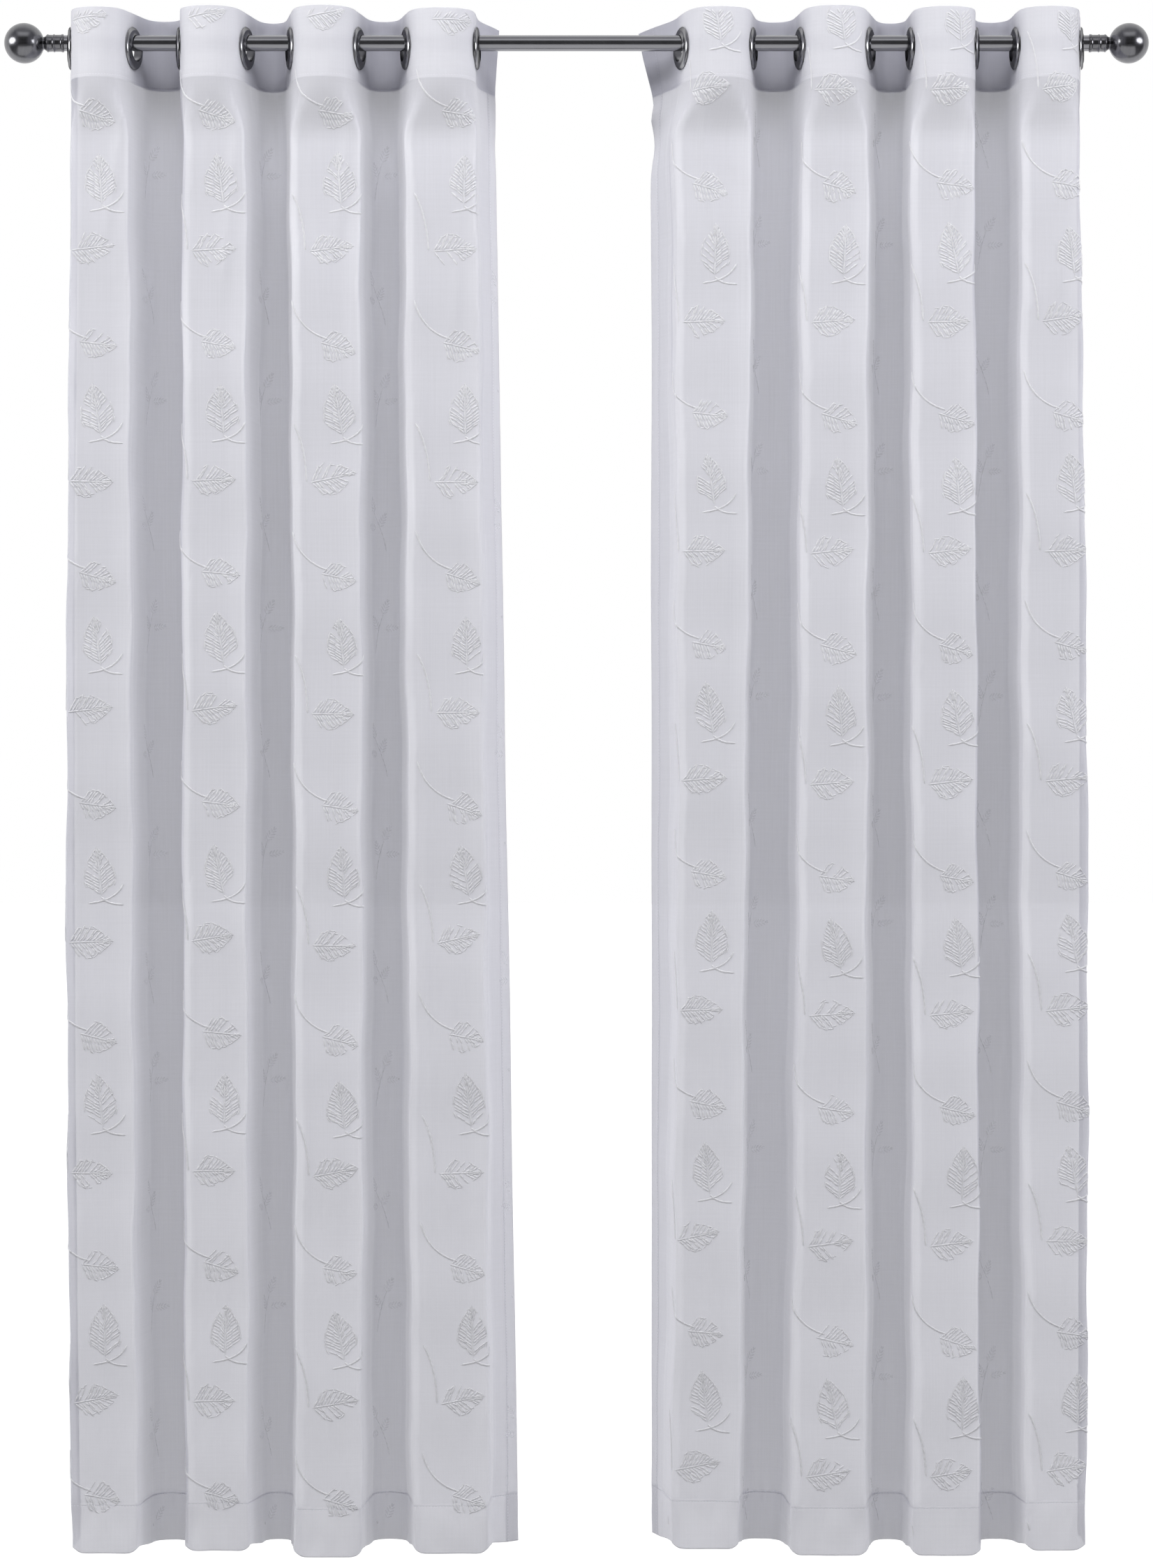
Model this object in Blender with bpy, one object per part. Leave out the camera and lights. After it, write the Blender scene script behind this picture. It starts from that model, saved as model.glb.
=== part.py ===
"""A pair of sheer eyelet curtains on a round rod with ball finials.

Units are metres. The origin is the middle of the rod's axis, X runs along the rod to the right,
the room is on the -Y side and the wall on the +Y side, and Z is up.
"""

import math

import bmesh
import bpy
from mathutils import Matrix, Vector

# Rod and finials
ROD_RADIUS = 0.011
ROD_SIDES = 24
SOCKET_MOUTH = 0.714
SOCKET_DEPTH = 0.016
COLLAR_STEP = 0.008
COLLAR_LENGTH = 0.024
SLEEVE_RADIUS = 0.0124
COLLAR_RADIUS = 0.0135
COLLAR_CHAMFER = 0.0030
NECK_RADIUS = 0.0090
BALL_RADIUS = 0.028
BALL_CENTRE = 0.769
BALL_STEPS = 9
FINIAL_SIDES = 20
GAP = 0.0003

# Eyelets
EYELET_RADIUS = 0.030
EYELET_BORE_RADIUS = 0.019
EYELET_GROOVE_RADIUS = 0.0235
EYELET_CROWN_RADIUS = 0.0215
EYELET_RIM_RADIUS = 0.0285
EYELET_BORE_FLAT = 0.0013
EYELET_CROWN = 0.0033
EYELET_RIM = 0.0028
EYELET_SIDES = 16
CLOTH_HOLE_RADIUS = 0.025
CLOTH_HOLE_SIDES = 24
HOLE_CUTTER_DEPTH = 0.020

# Cloth, with the flat panel 1.321 wide and 2.134 long
EYELET_SPACING = 0.167
EDGE_MARGIN = 0.076
CLOTH_THICKNESS = 0.0012
DOUBLED_THICKNESS = 0.0020
DOUBLING_LEDGE = 0.0008
SIDE_HEM = 0.020
FRONT_RADIUS = 0.016
VALLEY_RADIUS = 0.014
CORNER_STEPS = 3
FACE_BOW = 0.0015
EDGE_DEPTH = 0.038
STIFF_REACH = 0.034
RETURN_STEPS = 2

# Heights of the cloth
TOP_Z = 0.0395
BAND_FOOT_Z = -0.057
SHOULDER_Z = -0.140
MIDDLE_Z = -0.914
FOOT_Z = -2.057
HEM_TOP_Z = -2.027
BOTTOM_Z = -2.0965
DROOP_END_Z = -0.200
BODY_ROWS = (-0.085, -0.112, SHOULDER_Z, -0.450, MIDDLE_Z, -1.450)

# One row for each wall of cloth, left to right: where it crosses the rod, the degrees by which it
# turns to the right on its way back, at the heading and below it, and where the front fold's edge
# stands at three heights
WALL_COLUMNS = ("rod_x", "heading_turn", "body_turn", "shoulder_x", "middle_x", "foot_x")
LEFT_WALLS = (
    (-0.7030, -5, -4, -0.698, -0.705, -0.698),
    (-0.6175, 15, 8, -0.617, -0.616, -0.606),
    (-0.5516, -3, -4, -0.545, -0.545, -0.541),
    (-0.4600, 14, 8, -0.457, -0.456, -0.453),
    (-0.3980, -11, -7, -0.396, -0.390, -0.388),
    (-0.3036, 12, 7, -0.300, -0.298, -0.298),
    (-0.2370, -13, -8, -0.237, -0.234, -0.226),
    (-0.1400, 3, 4, -0.139, -0.130, -0.121),
)
RIGHT_WALLS = (
    (0.1470, -17, -8, 0.136, 0.140, 0.131),
    (0.2450, 9, 6, 0.242, 0.235, 0.225),
    (0.3118, -9, -6, 0.312, 0.309, 0.297),
    (0.4080, 15, 10, 0.404, 0.401, 0.400),
    (0.4656, -3, -2, 0.462, 0.465, 0.464),
    (0.5554, 5, 5, 0.550, 0.554, 0.558),
    (0.6114, -4, -4, 0.614, 0.615, 0.620),
    (0.7010, 9, 5, 0.695, 0.705, 0.704),
)

# One row for each free edge, outer or inner: where the cloth's edge stands, behind the rod, at the
# heading and at three heights, and how far the heading's corner droops
EDGE_COLUMNS = ("heading_x", "shoulder_x", "middle_x", "foot_x", "droop")
FREE_EDGES = {
    "left_outer": (-0.700, -0.697, -0.702, -0.694, 0.004),
    "left_inner": (-0.111, -0.115, -0.101, -0.083, 0.008),
    "right_inner": (0.088, 0.105, 0.106, 0.106, 0.018),
    "right_outer": (0.704, 0.700, 0.703, 0.701, 0.004),
}

# One row for each front fold and each valley, left to right: how far its top stands above the
# common top and how far its hem hangs below the common hem
WAVE_COLUMNS = ("rise", "drop")
LEFT_WAVES = (
    (-0.0015, 0.000), (0.000, 0.003), (0.0015, -0.004), (-0.002, 0.003),
    (0.0020, 0.006), (0.001, 0.002), (-0.0010, 0.002),
)
RIGHT_WAVES = (
    (0.0000, -0.006), (0.000, 0.001), (0.0015, 0.005), (-0.001, 0.003),
    (0.0000, 0.004), (0.000, 0.002), (-0.0005, -0.005),
)


def remove_all_objects():
    for thing in list(bpy.data.objects):
        bpy.data.objects.remove(thing, do_unlink=True)


def plain_material(name, colour, metallic, roughness, alpha=1.0):
    material = bpy.data.materials.new(name)
    material.use_nodes = True
    shader = material.node_tree.nodes["Principled BSDF"]
    shader.inputs["Base Color"].default_value = (*colour, 1.0)
    shader.inputs["Metallic"].default_value = metallic
    shader.inputs["Roughness"].default_value = roughness
    shader.inputs["Alpha"].default_value = alpha
    return material


def object_from_bmesh(name, shape, material):
    bmesh.ops.recalc_face_normals(shape, faces=shape.faces)
    mesh = bpy.data.meshes.new(name)
    shape.to_mesh(mesh)
    shape.free()
    thing = bpy.data.objects.new(name, mesh)
    bpy.context.scene.collection.objects.link(thing)
    thing.data.materials.append(material)
    return thing


def shade_round(thing, degrees=40):
    thing.data.shade_smooth()
    thing.data.set_sharp_from_angle(angle=math.radians(degrees))


def turned(name, profile, sides, material, closed):
    """Spin a profile of (distance along X, radius) points about the X axis."""
    shape = bmesh.new()
    ring = [shape.verts.new((x, 0.0, radius)) for x, radius in profile]
    edges = [shape.edges.new(pair) for pair in zip(ring, ring[1:])]
    if closed:
        edges.append(shape.edges.new((ring[-1], ring[0])))
    bmesh.ops.spin(
        shape, geom=ring + edges, cent=(0, 0, 0), axis=(1, 0, 0),
        angle=math.tau, steps=sides, use_merge=False,
    )
    bmesh.ops.remove_doubles(shape, verts=shape.verts, dist=GAP / 10)
    thing = object_from_bmesh(name, shape, material)
    shade_round(thing)
    return thing


def make_rod(material):
    end = SOCKET_MOUTH + SOCKET_DEPTH - GAP
    profile = ((-end, 0.0), (-end, ROD_RADIUS), (end, ROD_RADIUS), (end, 0.0))
    return turned("rod", profile, ROD_SIDES, material, closed=False)


def finial_profile():
    """The finial on the +X end: socket, stepped collar, neck and ball."""
    socket_radius = (ROD_RADIUS + GAP) / math.cos(math.pi / FINIAL_SIDES)
    socket_floor = SOCKET_MOUTH + SOCKET_DEPTH
    collar_end = SOCKET_MOUTH + COLLAR_LENGTH
    step = SOCKET_MOUTH + COLLAR_STEP
    profile = [
        (socket_floor, 0.0),
        (socket_floor, socket_radius),
        (SOCKET_MOUTH, socket_radius),
        (SOCKET_MOUTH, SLEEVE_RADIUS),
        (step, SLEEVE_RADIUS),
        (step, COLLAR_RADIUS),
        (collar_end - COLLAR_CHAMFER, COLLAR_RADIUS),
        (collar_end, NECK_RADIUS),
    ]
    start = math.asin(NECK_RADIUS / BALL_RADIUS)
    for index in range(BALL_STEPS + 1):
        angle = start + (math.pi - start) * index / BALL_STEPS
        radius = BALL_RADIUS * math.sin(angle)
        if index == BALL_STEPS:
            radius = 0.0
        profile.append((BALL_CENTRE - BALL_RADIUS * math.cos(angle), radius))
    return profile


def make_finials(material):
    right = turned("finial_right", finial_profile(), FINIAL_SIDES, material, closed=False)
    left_mesh = right.data.copy()
    left_mesh.name = "finial_left"
    left = bpy.data.objects.new("finial_left", left_mesh)
    left.rotation_euler = (0.0, 0.0, math.pi)
    bpy.context.scene.collection.objects.link(left)
    return left, right


def eyelet_mesh_object(name, material):
    """One eyelet about the X axis, with the groove that grips the cloth open at its rim."""
    groove = DOUBLED_THICKNESS / 2 + GAP
    half = (
        (EYELET_BORE_FLAT, EYELET_BORE_RADIUS),
        (EYELET_CROWN, EYELET_CROWN_RADIUS),
        (EYELET_RIM, EYELET_RIM_RADIUS),
        (groove, EYELET_RADIUS),
        (groove, EYELET_GROOVE_RADIUS),
    )
    mirrored = [(-x, radius) for x, radius in reversed(half)]
    return turned(name, list(half) + mirrored, EYELET_SIDES, material, closed=True)


def eyelet_height():
    """The height of an eyelet's centre when its bore hangs on the rod."""
    bore_flat = EYELET_BORE_RADIUS * math.cos(math.pi / EYELET_SIDES)
    return ROD_RADIUS + GAP - bore_flat


def place_eyelet(thing, wall):
    turn = -math.radians(wall["heading_turn"])
    flat_on_top = math.pi / EYELET_SIDES
    thing.matrix_world = (
        Matrix.Translation((wall["rod_x"], 0.0, eyelet_height()))
        @ Matrix.Rotation(turn, 4, "Z")
        @ Matrix.Rotation(flat_on_top, 4, "X")
    )


def smooth(value):
    value = min(max(value, 0.0), 1.0)
    return value * value * (3.0 - 2.0 * value)


def heading_share(z):
    """1 in the stiff heading band, falling to 0 at the shoulder."""
    return 1.0 - smooth((BAND_FOOT_Z - z) / (BAND_FOOT_Z - SHOULDER_Z))


def through_three(z, shoulder, middle, foot):
    """A smooth course through values at the shoulder, middle and foot heights."""
    z = min(z, SHOULDER_Z)
    a = (z - MIDDLE_Z) * (z - FOOT_Z) / ((SHOULDER_Z - MIDDLE_Z) * (SHOULDER_Z - FOOT_Z))
    b = (z - SHOULDER_Z) * (z - FOOT_Z) / ((MIDDLE_Z - SHOULDER_Z) * (MIDDLE_Z - FOOT_Z))
    c = (z - SHOULDER_Z) * (z - MIDDLE_Z) / ((FOOT_Z - SHOULDER_Z) * (FOOT_Z - MIDDLE_Z))
    return a * shoulder + b * middle + c * foot


def wall_at(wall, z):
    """Where a wall crosses the rod's plane at a height, and its turn there in radians."""
    share = heading_share(z)
    edge = through_three(z, wall["shoulder_x"], wall["middle_x"], wall["foot_x"])
    body_turn = math.radians(wall["body_turn"])
    body_x = edge + EDGE_DEPTH * math.tan(body_turn)
    x = share * wall["rod_x"] + (1.0 - share) * body_x
    turn = share * math.radians(wall["heading_turn"]) + (1.0 - share) * body_turn
    return x, turn


def edge_at(edge, z):
    share = heading_share(z)
    body_x = through_three(z, edge["shoulder_x"], edge["middle_x"], edge["foot_x"])
    return share * edge["heading_x"] + (1.0 - share) * body_x


def half_wave(left, right, front):
    """Points of the cloth's middle line from one wall's crossing to the next.

    The cloth runs out along the left wall, round a corner, along the face, round the other
    corner and back along the right wall, and its length is the eyelet spacing.
    """
    side = 1.0 if front else -1.0
    radius = FRONT_RADIUS if front else VALLEY_RADIUS
    angles = (math.pi / 2 + side * left[1], math.pi / 2 - side * right[1])
    rise = [math.tan(angle / 2) for angle in angles]
    slack = EYELET_SPACING - (right[0] - left[0])
    slack -= radius * sum(angle - math.sin(angle) for angle in angles)
    slack += radius * sum(k * (1.0 - math.cos(angle)) for k, angle in zip(rise, angles))
    depth = slack / sum(rise)
    points = []
    for end, (crossing, angle) in enumerate(zip((left[0], right[0]), angles)):
        inward = 1.0 if end == 0 else -1.0
        wall = (depth - radius * (1.0 - math.cos(angle))) / math.sin(angle)
        start = Vector((wall * math.cos(angle), wall * math.sin(angle)))
        centre = start + radius * Vector((math.sin(angle), -math.cos(angle)))
        corner = [start]
        for step in range(1, CORNER_STEPS + 1):
            left_over = angle * (1.0 - step / CORNER_STEPS)
            corner.append(centre + radius * Vector((-math.sin(left_over), math.cos(left_over))))
        course = [(crossing + inward * p.x, -side * p.y) for p in corner]
        points.append(course)
    outward, homeward = points[0], list(reversed(points[1]))
    middle_x = (outward[-1][0] + homeward[0][0]) / 2
    middle = (middle_x, -side * (depth + FACE_BOW))
    return outward + [middle] + homeward


def free_return(wall, edge_x, inward):
    """Points from a panel's last wall crossing back to its free edge, behind the rod."""
    x, turn = wall
    stiff = (x + STIFF_REACH * math.sin(turn), STIFF_REACH * math.cos(turn))
    rest = EDGE_MARGIN - STIFF_REACH
    across = min(max(edge_x - stiff[0], -0.95 * rest), 0.95 * rest)
    end = (stiff[0] + across, stiff[1] + math.sqrt(rest * rest - across * across))
    hem_share = 1.0 - SIDE_HEM / rest
    points = [stiff]
    for step in range(1, RETURN_STEPS + 1):
        share = hem_share * step / RETURN_STEPS
        points.append((stiff[0] + share * (end[0] - stiff[0]), stiff[1] + share * (end[1] - stiff[1])))
    ledge = hem_share + DOUBLING_LEDGE / rest
    points.append((stiff[0] + ledge * (end[0] - stiff[0]), stiff[1] + ledge * (end[1] - stiff[1])))
    points.append(end)
    return points if inward else list(reversed(points))


def plan_line(walls, edges, z):
    """The cloth's middle line, seen from above, at one height."""
    crossings = [wall_at(wall, z) for wall in walls]
    line = free_return(crossings[0], edge_at(edges[0], z), inward=False)
    for index in range(len(crossings) - 1):
        line += half_wave(crossings[index], crossings[index + 1], front=index % 2 == 0)
    line += free_return(crossings[-1], edge_at(edges[1], z), inward=True)
    return line


def wave_values(waves, name, count):
    """The value of a column of the wave table at each point of the plan line."""
    end_points = RETURN_STEPS + 3
    wave_points = 2 * (CORNER_STEPS + 1) + 1
    centres = [end_points + wave_points * (index + 0.5) - 0.5 for index in range(len(waves))]
    values = [wave[name] for wave in waves]
    result = []
    for point in range(count):
        if point <= centres[0]:
            result.append(values[0])
            continue
        if point >= centres[-1]:
            result.append(values[-1])
            continue
        index = max(i for i, centre in enumerate(centres) if centre <= point)
        share = smooth((point - centres[index]) / (centres[index + 1] - centres[index]))
        result.append(values[index] + share * (values[index + 1] - values[index]))
    return result


def row_heights():
    """Heights of the rows of points and whether the cloth is doubled there."""
    rows = [(TOP_Z, True), (BAND_FOOT_Z, True), (BAND_FOOT_Z - DOUBLING_LEDGE, False)]
    rows += [(z, False) for z in BODY_ROWS]
    rows += [(HEM_TOP_Z + DOUBLING_LEDGE, False), (HEM_TOP_Z, True), (BOTTOM_Z, True)]
    return rows


def droop_at(edges, index, count, z):
    """How far the heading's free corners sink, towards the cloth's edge."""
    reach = RETURN_STEPS + 2
    share = smooth((z - DROOP_END_Z) / (TOP_Z - DROOP_END_Z))
    from_start = max(0.0, 1.0 - index / reach)
    from_end = max(0.0, 1.0 - (count - 1 - index) / reach)
    return share * (edges[0]["droop"] * from_start ** 2 + edges[1]["droop"] * from_end ** 2)


def make_cloth(name, walls, edges, waves, material):
    rows = row_heights()
    count = len(plan_line(walls, edges, TOP_Z))
    rises = wave_values(waves, "rise", count)
    drops = wave_values(waves, "drop", count)
    shape = bmesh.new()
    doubled_layer = shape.verts.layers.deform.verify()
    grid = []
    for z, doubled in rows:
        line = plan_line(walls, edges, z)
        down = (TOP_Z - z) / (TOP_Z - BOTTOM_Z)
        band = smooth((z - SHOULDER_Z) / (TOP_Z - SHOULDER_Z))
        verts = []
        for index, (x, y) in enumerate(line):
            height = z + band * rises[index] - smooth(down) * drops[index]
            height -= droop_at(edges, index, count, z)
            vert = shape.verts.new((x, y, height))
            side_hem = index < 2 or index > count - 3
            vert[doubled_layer][0] = 1.0 if doubled or side_hem else 0.0
            verts.append(vert)
        grid.append(verts)
    for upper, lower in zip(grid, grid[1:]):
        for index in range(count - 1):
            shape.faces.new((upper[index], lower[index], lower[index + 1], upper[index + 1]))
    cloth = object_from_bmesh(name, shape, material)
    cloth.vertex_groups.new(name="doubled")
    thicken = cloth.modifiers.new("Thickness", "SOLIDIFY")
    thicken.thickness = DOUBLED_THICKNESS
    thicken.offset = 0.0
    thicken.vertex_group = "doubled"
    thicken.thickness_vertex_group = CLOTH_THICKNESS / DOUBLED_THICKNESS
    cutter = hole_cutter(name + "_holes", walls)
    cut = cloth.modifiers.new("Eyelet holes", "BOOLEAN")
    cut.operation = "DIFFERENCE"
    cut.object = cutter
    return cloth


def hole_cutter(name, walls):
    """Eight round punches, one across each wall of the heading."""
    shape = bmesh.new()
    for wall in walls:
        place = (
            Matrix.Translation((wall["rod_x"], 0.0, eyelet_height()))
            @ Matrix.Rotation(-math.radians(wall["heading_turn"]), 4, "Z")
            @ Matrix.Rotation(math.pi / 2, 4, "Y")
        )
        bmesh.ops.create_cone(
            shape, cap_ends=True, segments=CLOTH_HOLE_SIDES, radius1=CLOTH_HOLE_RADIUS,
            radius2=CLOTH_HOLE_RADIUS, depth=HOLE_CUTTER_DEPTH, matrix=place,
        )
    mesh = bpy.data.meshes.new(name)
    shape.to_mesh(mesh)
    shape.free()
    cutter = bpy.data.objects.new(name, mesh)
    bpy.context.scene.collection.objects.link(cutter)
    cutter.hide_render = True
    cutter.display_type = "WIRE"
    return cutter


def as_rows(table, columns):
    return [dict(zip(columns, row)) for row in table]


def make_panel(side, wall_table, wave_table, edge_names, cloth_material, metal_material):
    walls = as_rows(wall_table, WALL_COLUMNS)
    waves = as_rows(wave_table, WAVE_COLUMNS)
    edges = as_rows([FREE_EDGES[name] for name in edge_names], EDGE_COLUMNS)
    make_cloth("curtain_" + side, walls, edges, waves, cloth_material)
    for number, wall in enumerate(walls, start=1):
        eyelet = eyelet_mesh_object(f"eyelet_{side}_{number}", metal_material)
        place_eyelet(eyelet, wall)


def main():
    remove_all_objects()
    voile = plain_material("white voile", (0.72, 0.72, 0.78), 0.0, 0.8, alpha=0.85)
    pewter = plain_material("dark pewter", (0.10, 0.10, 0.11), 1.0, 0.28)
    make_rod(pewter)
    make_finials(pewter)
    make_panel("left", LEFT_WALLS, LEFT_WAVES, ("left_outer", "left_inner"), voile, pewter)
    make_panel("right", RIGHT_WALLS, RIGHT_WAVES, ("right_inner", "right_outer"), voile, pewter)
    bpy.context.view_layer.update()


main()
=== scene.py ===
"""The looks of a pair of white sheer eyelet curtains on a round rod with ball finials.

The frame is the part's own: metres, the origin in the middle of the rod's axis, X along the rod,
the room on the -Y side and Z up. A curtain is cut flat, with its turnings, and then hung in its
folds. Flat places on the cloth are (across, down): metres from its left edge and from its top.
"""

import math
import random

import bmesh
import bpy
import numpy as np
from mathutils import Matrix, Vector, noise


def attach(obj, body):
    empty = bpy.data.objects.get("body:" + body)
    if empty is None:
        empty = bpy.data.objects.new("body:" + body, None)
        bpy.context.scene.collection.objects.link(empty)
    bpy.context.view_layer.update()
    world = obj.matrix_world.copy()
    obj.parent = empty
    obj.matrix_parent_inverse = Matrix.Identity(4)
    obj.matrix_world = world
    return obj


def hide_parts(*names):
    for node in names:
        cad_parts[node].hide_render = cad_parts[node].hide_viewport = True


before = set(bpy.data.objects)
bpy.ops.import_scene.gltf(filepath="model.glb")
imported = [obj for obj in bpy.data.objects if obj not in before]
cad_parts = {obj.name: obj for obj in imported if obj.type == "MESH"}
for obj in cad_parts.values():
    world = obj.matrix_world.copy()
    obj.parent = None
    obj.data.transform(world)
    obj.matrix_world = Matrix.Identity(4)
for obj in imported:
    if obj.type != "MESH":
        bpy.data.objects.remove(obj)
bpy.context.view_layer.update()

# The photograph's view
PHOTO_HEIGHT = 2246
VIEW_DISTANCE = 5.10
METRES_PER_PIXEL_AT_ROD = 0.000972
ROD_ROW = 62
SENSOR_HEIGHT = 0.024

# Cloth sizes
PANEL_WIDTH = 1.321
PANEL_LENGTH = 2.134
EYELET_SPACING = 0.167
EDGE_MARGIN = 0.076
HEADING_DEPTH = 0.0965
HEM_DEPTH = 0.0700
SIDE_TURNING = 0.020
TURNING_GAP = 0.0009
EYELET_DROP = 0.0468
HOLE_RADIUS = 0.0255
HEADING_FRONT_RADIUS = 0.036
BODY_FRONT_RADIUS = 0.0045
HEADING_VALLEY_RADIUS = 0.034
BODY_VALLEY_RADIUS = 0.024
HEADING_FILL = 0.46
BODY_FILL = 0.36
RIGHT_LIP = 0.0012
LEFT_LIP = 0.0008
HEM_CORNER_LIFT = 0.009
HEM_CORNER_RADIUS = 0.012
EDGE_DEPTH = 0.038
STIFF_REACH = 0.034
HEADING_SOFTNESS = 0.0105
BODY_SOFTNESS = 0.0014

# Heights
TOP_Z = 0.0395
BAND_FOOT_Z = -0.057
SHOULDER_Z = -0.140
MIDDLE_Z = -0.914
FOOT_Z = -2.057
DROOP_END_Z = -0.200
FLOOR_Z = -2.330
UNSEEN_WHITE = (0.45, 0.45, 0.52)
SHADE_OPACITY = 0.94
TURNED_DENSITY = 0.40
FLOOR_FRONT = 5.3

# The studio's greys on the room's side, from straight down (0) to straight up (1)
STUDIO_GREYS = (
    (0.30, 0.40), (0.34, 0.06), (0.46, 0.05), (0.50, 0.16), (0.54, 0.06), (0.72, 0.10),
    (0.79, 0.85), (0.88, 1.10), (0.93, 0.45),
)

ROOM_SIDES = ((0.12, 0.12, 0.14), (0.29, 0.29, 0.32))

# One row for each light
LIGHT_COLUMNS = ("name", "place", "target", "shape", "size", "power", "colour")
LIGHTS = (
    ("Left soft box", (-3.6, -1.35, 0.4), (0.0, 0.0, -0.6), "ELLIPSE", (2.4, 1.5), 57.0, (1.0, 1.0, 0.99)),
    ("Right soft box", (3.6, -1.9, 0.4), (0.0, 0.0, -0.6), "ELLIPSE", (2.4, 1.5), 52.0, (0.98, 0.98, 1.0)),
    ("Top soft box", (0.0, -1.8, 1.8), (0.0, 0.0, -0.2), "RECTANGLE", (3.0, 0.8), 45.0, (0.98, 0.98, 1.0)),
    ("Low card", (0.0, -1.10, -1.75), (0.0, 0.0, 0.0), "RECTANGLE", (4.0, 2.2), 19.0, (1.0, 1.0, 1.0)),
)

# The cloth's tones: plain cloth lies between the first two, and the others are laid over it. The fold edge
# tone is a painted highlight; the tone under the heading and the shaded heading tone are painted shade
VOILE_TONES = ((0.68, 0.68, 0.74), (0.74, 0.74, 0.80))
FOLD_EDGE_HIGHLIGHT_TONE = (0.91, 0.91, 0.96)
SIDE_TONE = (0.86, 0.86, 0.91)
HEM_TONE = (0.90, 0.90, 0.95)
PAINTED_SHADE_UNDER_HEADING = (0.58, 0.58, 0.63)
HEADING_TONE = (0.84, 0.84, 0.88)
SHADED_HEADING_TONE = (0.52, 0.52, 0.58)

# How much the cloth covers what is behind it: where the weave is open, and what is added to that
OPEN_COVER = 0.72
WEAVE_COVER = 0.14
HEADING_COVER = 0.14
FOLD_EDGE_COVER = 0.07

# The metals: how finely their wear is drawn along each axis, their palest and deepest tones,
# and how pale they turn at grazing views
PEWTER = {
    "rod": ((5.0, 420.0, 420.0), (0.36, 0.36, 0.375), (0.26, 0.26, 0.275), 1.0),
    "finial": ((300.0, 60.0, 60.0), (0.27, 0.27, 0.28), (0.13, 0.13, 0.14), 1.0),
    "eyelet": ((160.0, 160.0, 160.0), (0.42, 0.42, 0.435), (0.26, 0.26, 0.27), 0.30),
}

# One row for each wall of cloth, left to right: where it crosses the rod, its turn at the heading
# and below it in degrees, and where the front fold's edge stands at three heights
WALL_COLUMNS = ("rod_x", "heading_turn", "body_turn", "shoulder_x", "middle_x", "foot_x")
WALLS = {
    "left": (
        (-0.7030, -5, -4, -0.698, -0.705, -0.698),
        (-0.6175, 15, 8, -0.617, -0.616, -0.606),
        (-0.5516, -3, -4, -0.545, -0.545, -0.541),
        (-0.4600, 14, 8, -0.457, -0.456, -0.453),
        (-0.3980, -11, -7, -0.396, -0.390, -0.388),
        (-0.3036, 12, 7, -0.300, -0.298, -0.298),
        (-0.2370, -13, -8, -0.237, -0.234, -0.226),
        (-0.1400, 3, 4, -0.139, -0.130, -0.121),
    ),
    "right": (
        (0.1470, -17, -8, 0.136, 0.140, 0.131),
        (0.2450, 9, 6, 0.242, 0.235, 0.225),
        (0.3118, -9, -6, 0.312, 0.309, 0.297),
        (0.4080, 15, 10, 0.404, 0.401, 0.400),
        (0.4656, -3, -2, 0.462, 0.465, 0.464),
        (0.5554, 5, 5, 0.550, 0.554, 0.558),
        (0.6114, -4, -4, 0.614, 0.615, 0.620),
        (0.7010, 9, 5, 0.695, 0.705, 0.704),
    ),
}

# One row for each free edge: where it stands behind the rod at the heading and at three heights,
# and how far the heading's corner droops
EDGE_COLUMNS = ("heading_x", "shoulder_x", "middle_x", "foot_x", "droop")
EDGES = {
    "left": ((-0.706, -0.705, -0.710, -0.702, 0.004), (-0.111, -0.115, -0.101, -0.083, 0.008)),
    "right": ((0.088, 0.105, 0.106, 0.106, 0.018), (0.710, 0.708, 0.711, 0.709, 0.004)),
}

# How far each panel's free edges flare along the rod, at distances down from the top
FLARE_DOWN = (0.0, 0.030, 0.060, 0.090, 0.110, 0.150, 0.210)
FLARES = {
    "left": ((0.0,) * 7, (0.002, 0.0, -0.002, -0.004, -0.003, -0.001, 0.0)),
    "right": ((-0.010, -0.005, 0.002, 0.009, 0.012, 0.009, 0.0), (0.0,) * 7),
}

# One row for each front fold and valley: how far its top rises and its hem drops
WAVE_COLUMNS = ("rise", "drop")
WAVES = {
    "left": (
        (-0.0005, 0.000), (0.004, 0.003), (0.0020, -0.004), (0.002, 0.003),
        (0.0025, 0.006), (0.004, 0.002), (-0.0005, 0.002),
    ),
    "right": (
        (0.0010, -0.006), (0.003, 0.001), (0.0025, 0.005), (0.002, 0.003),
        (0.0010, 0.004), (0.003, 0.002), (0.0010, -0.005),
    ),
}

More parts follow.
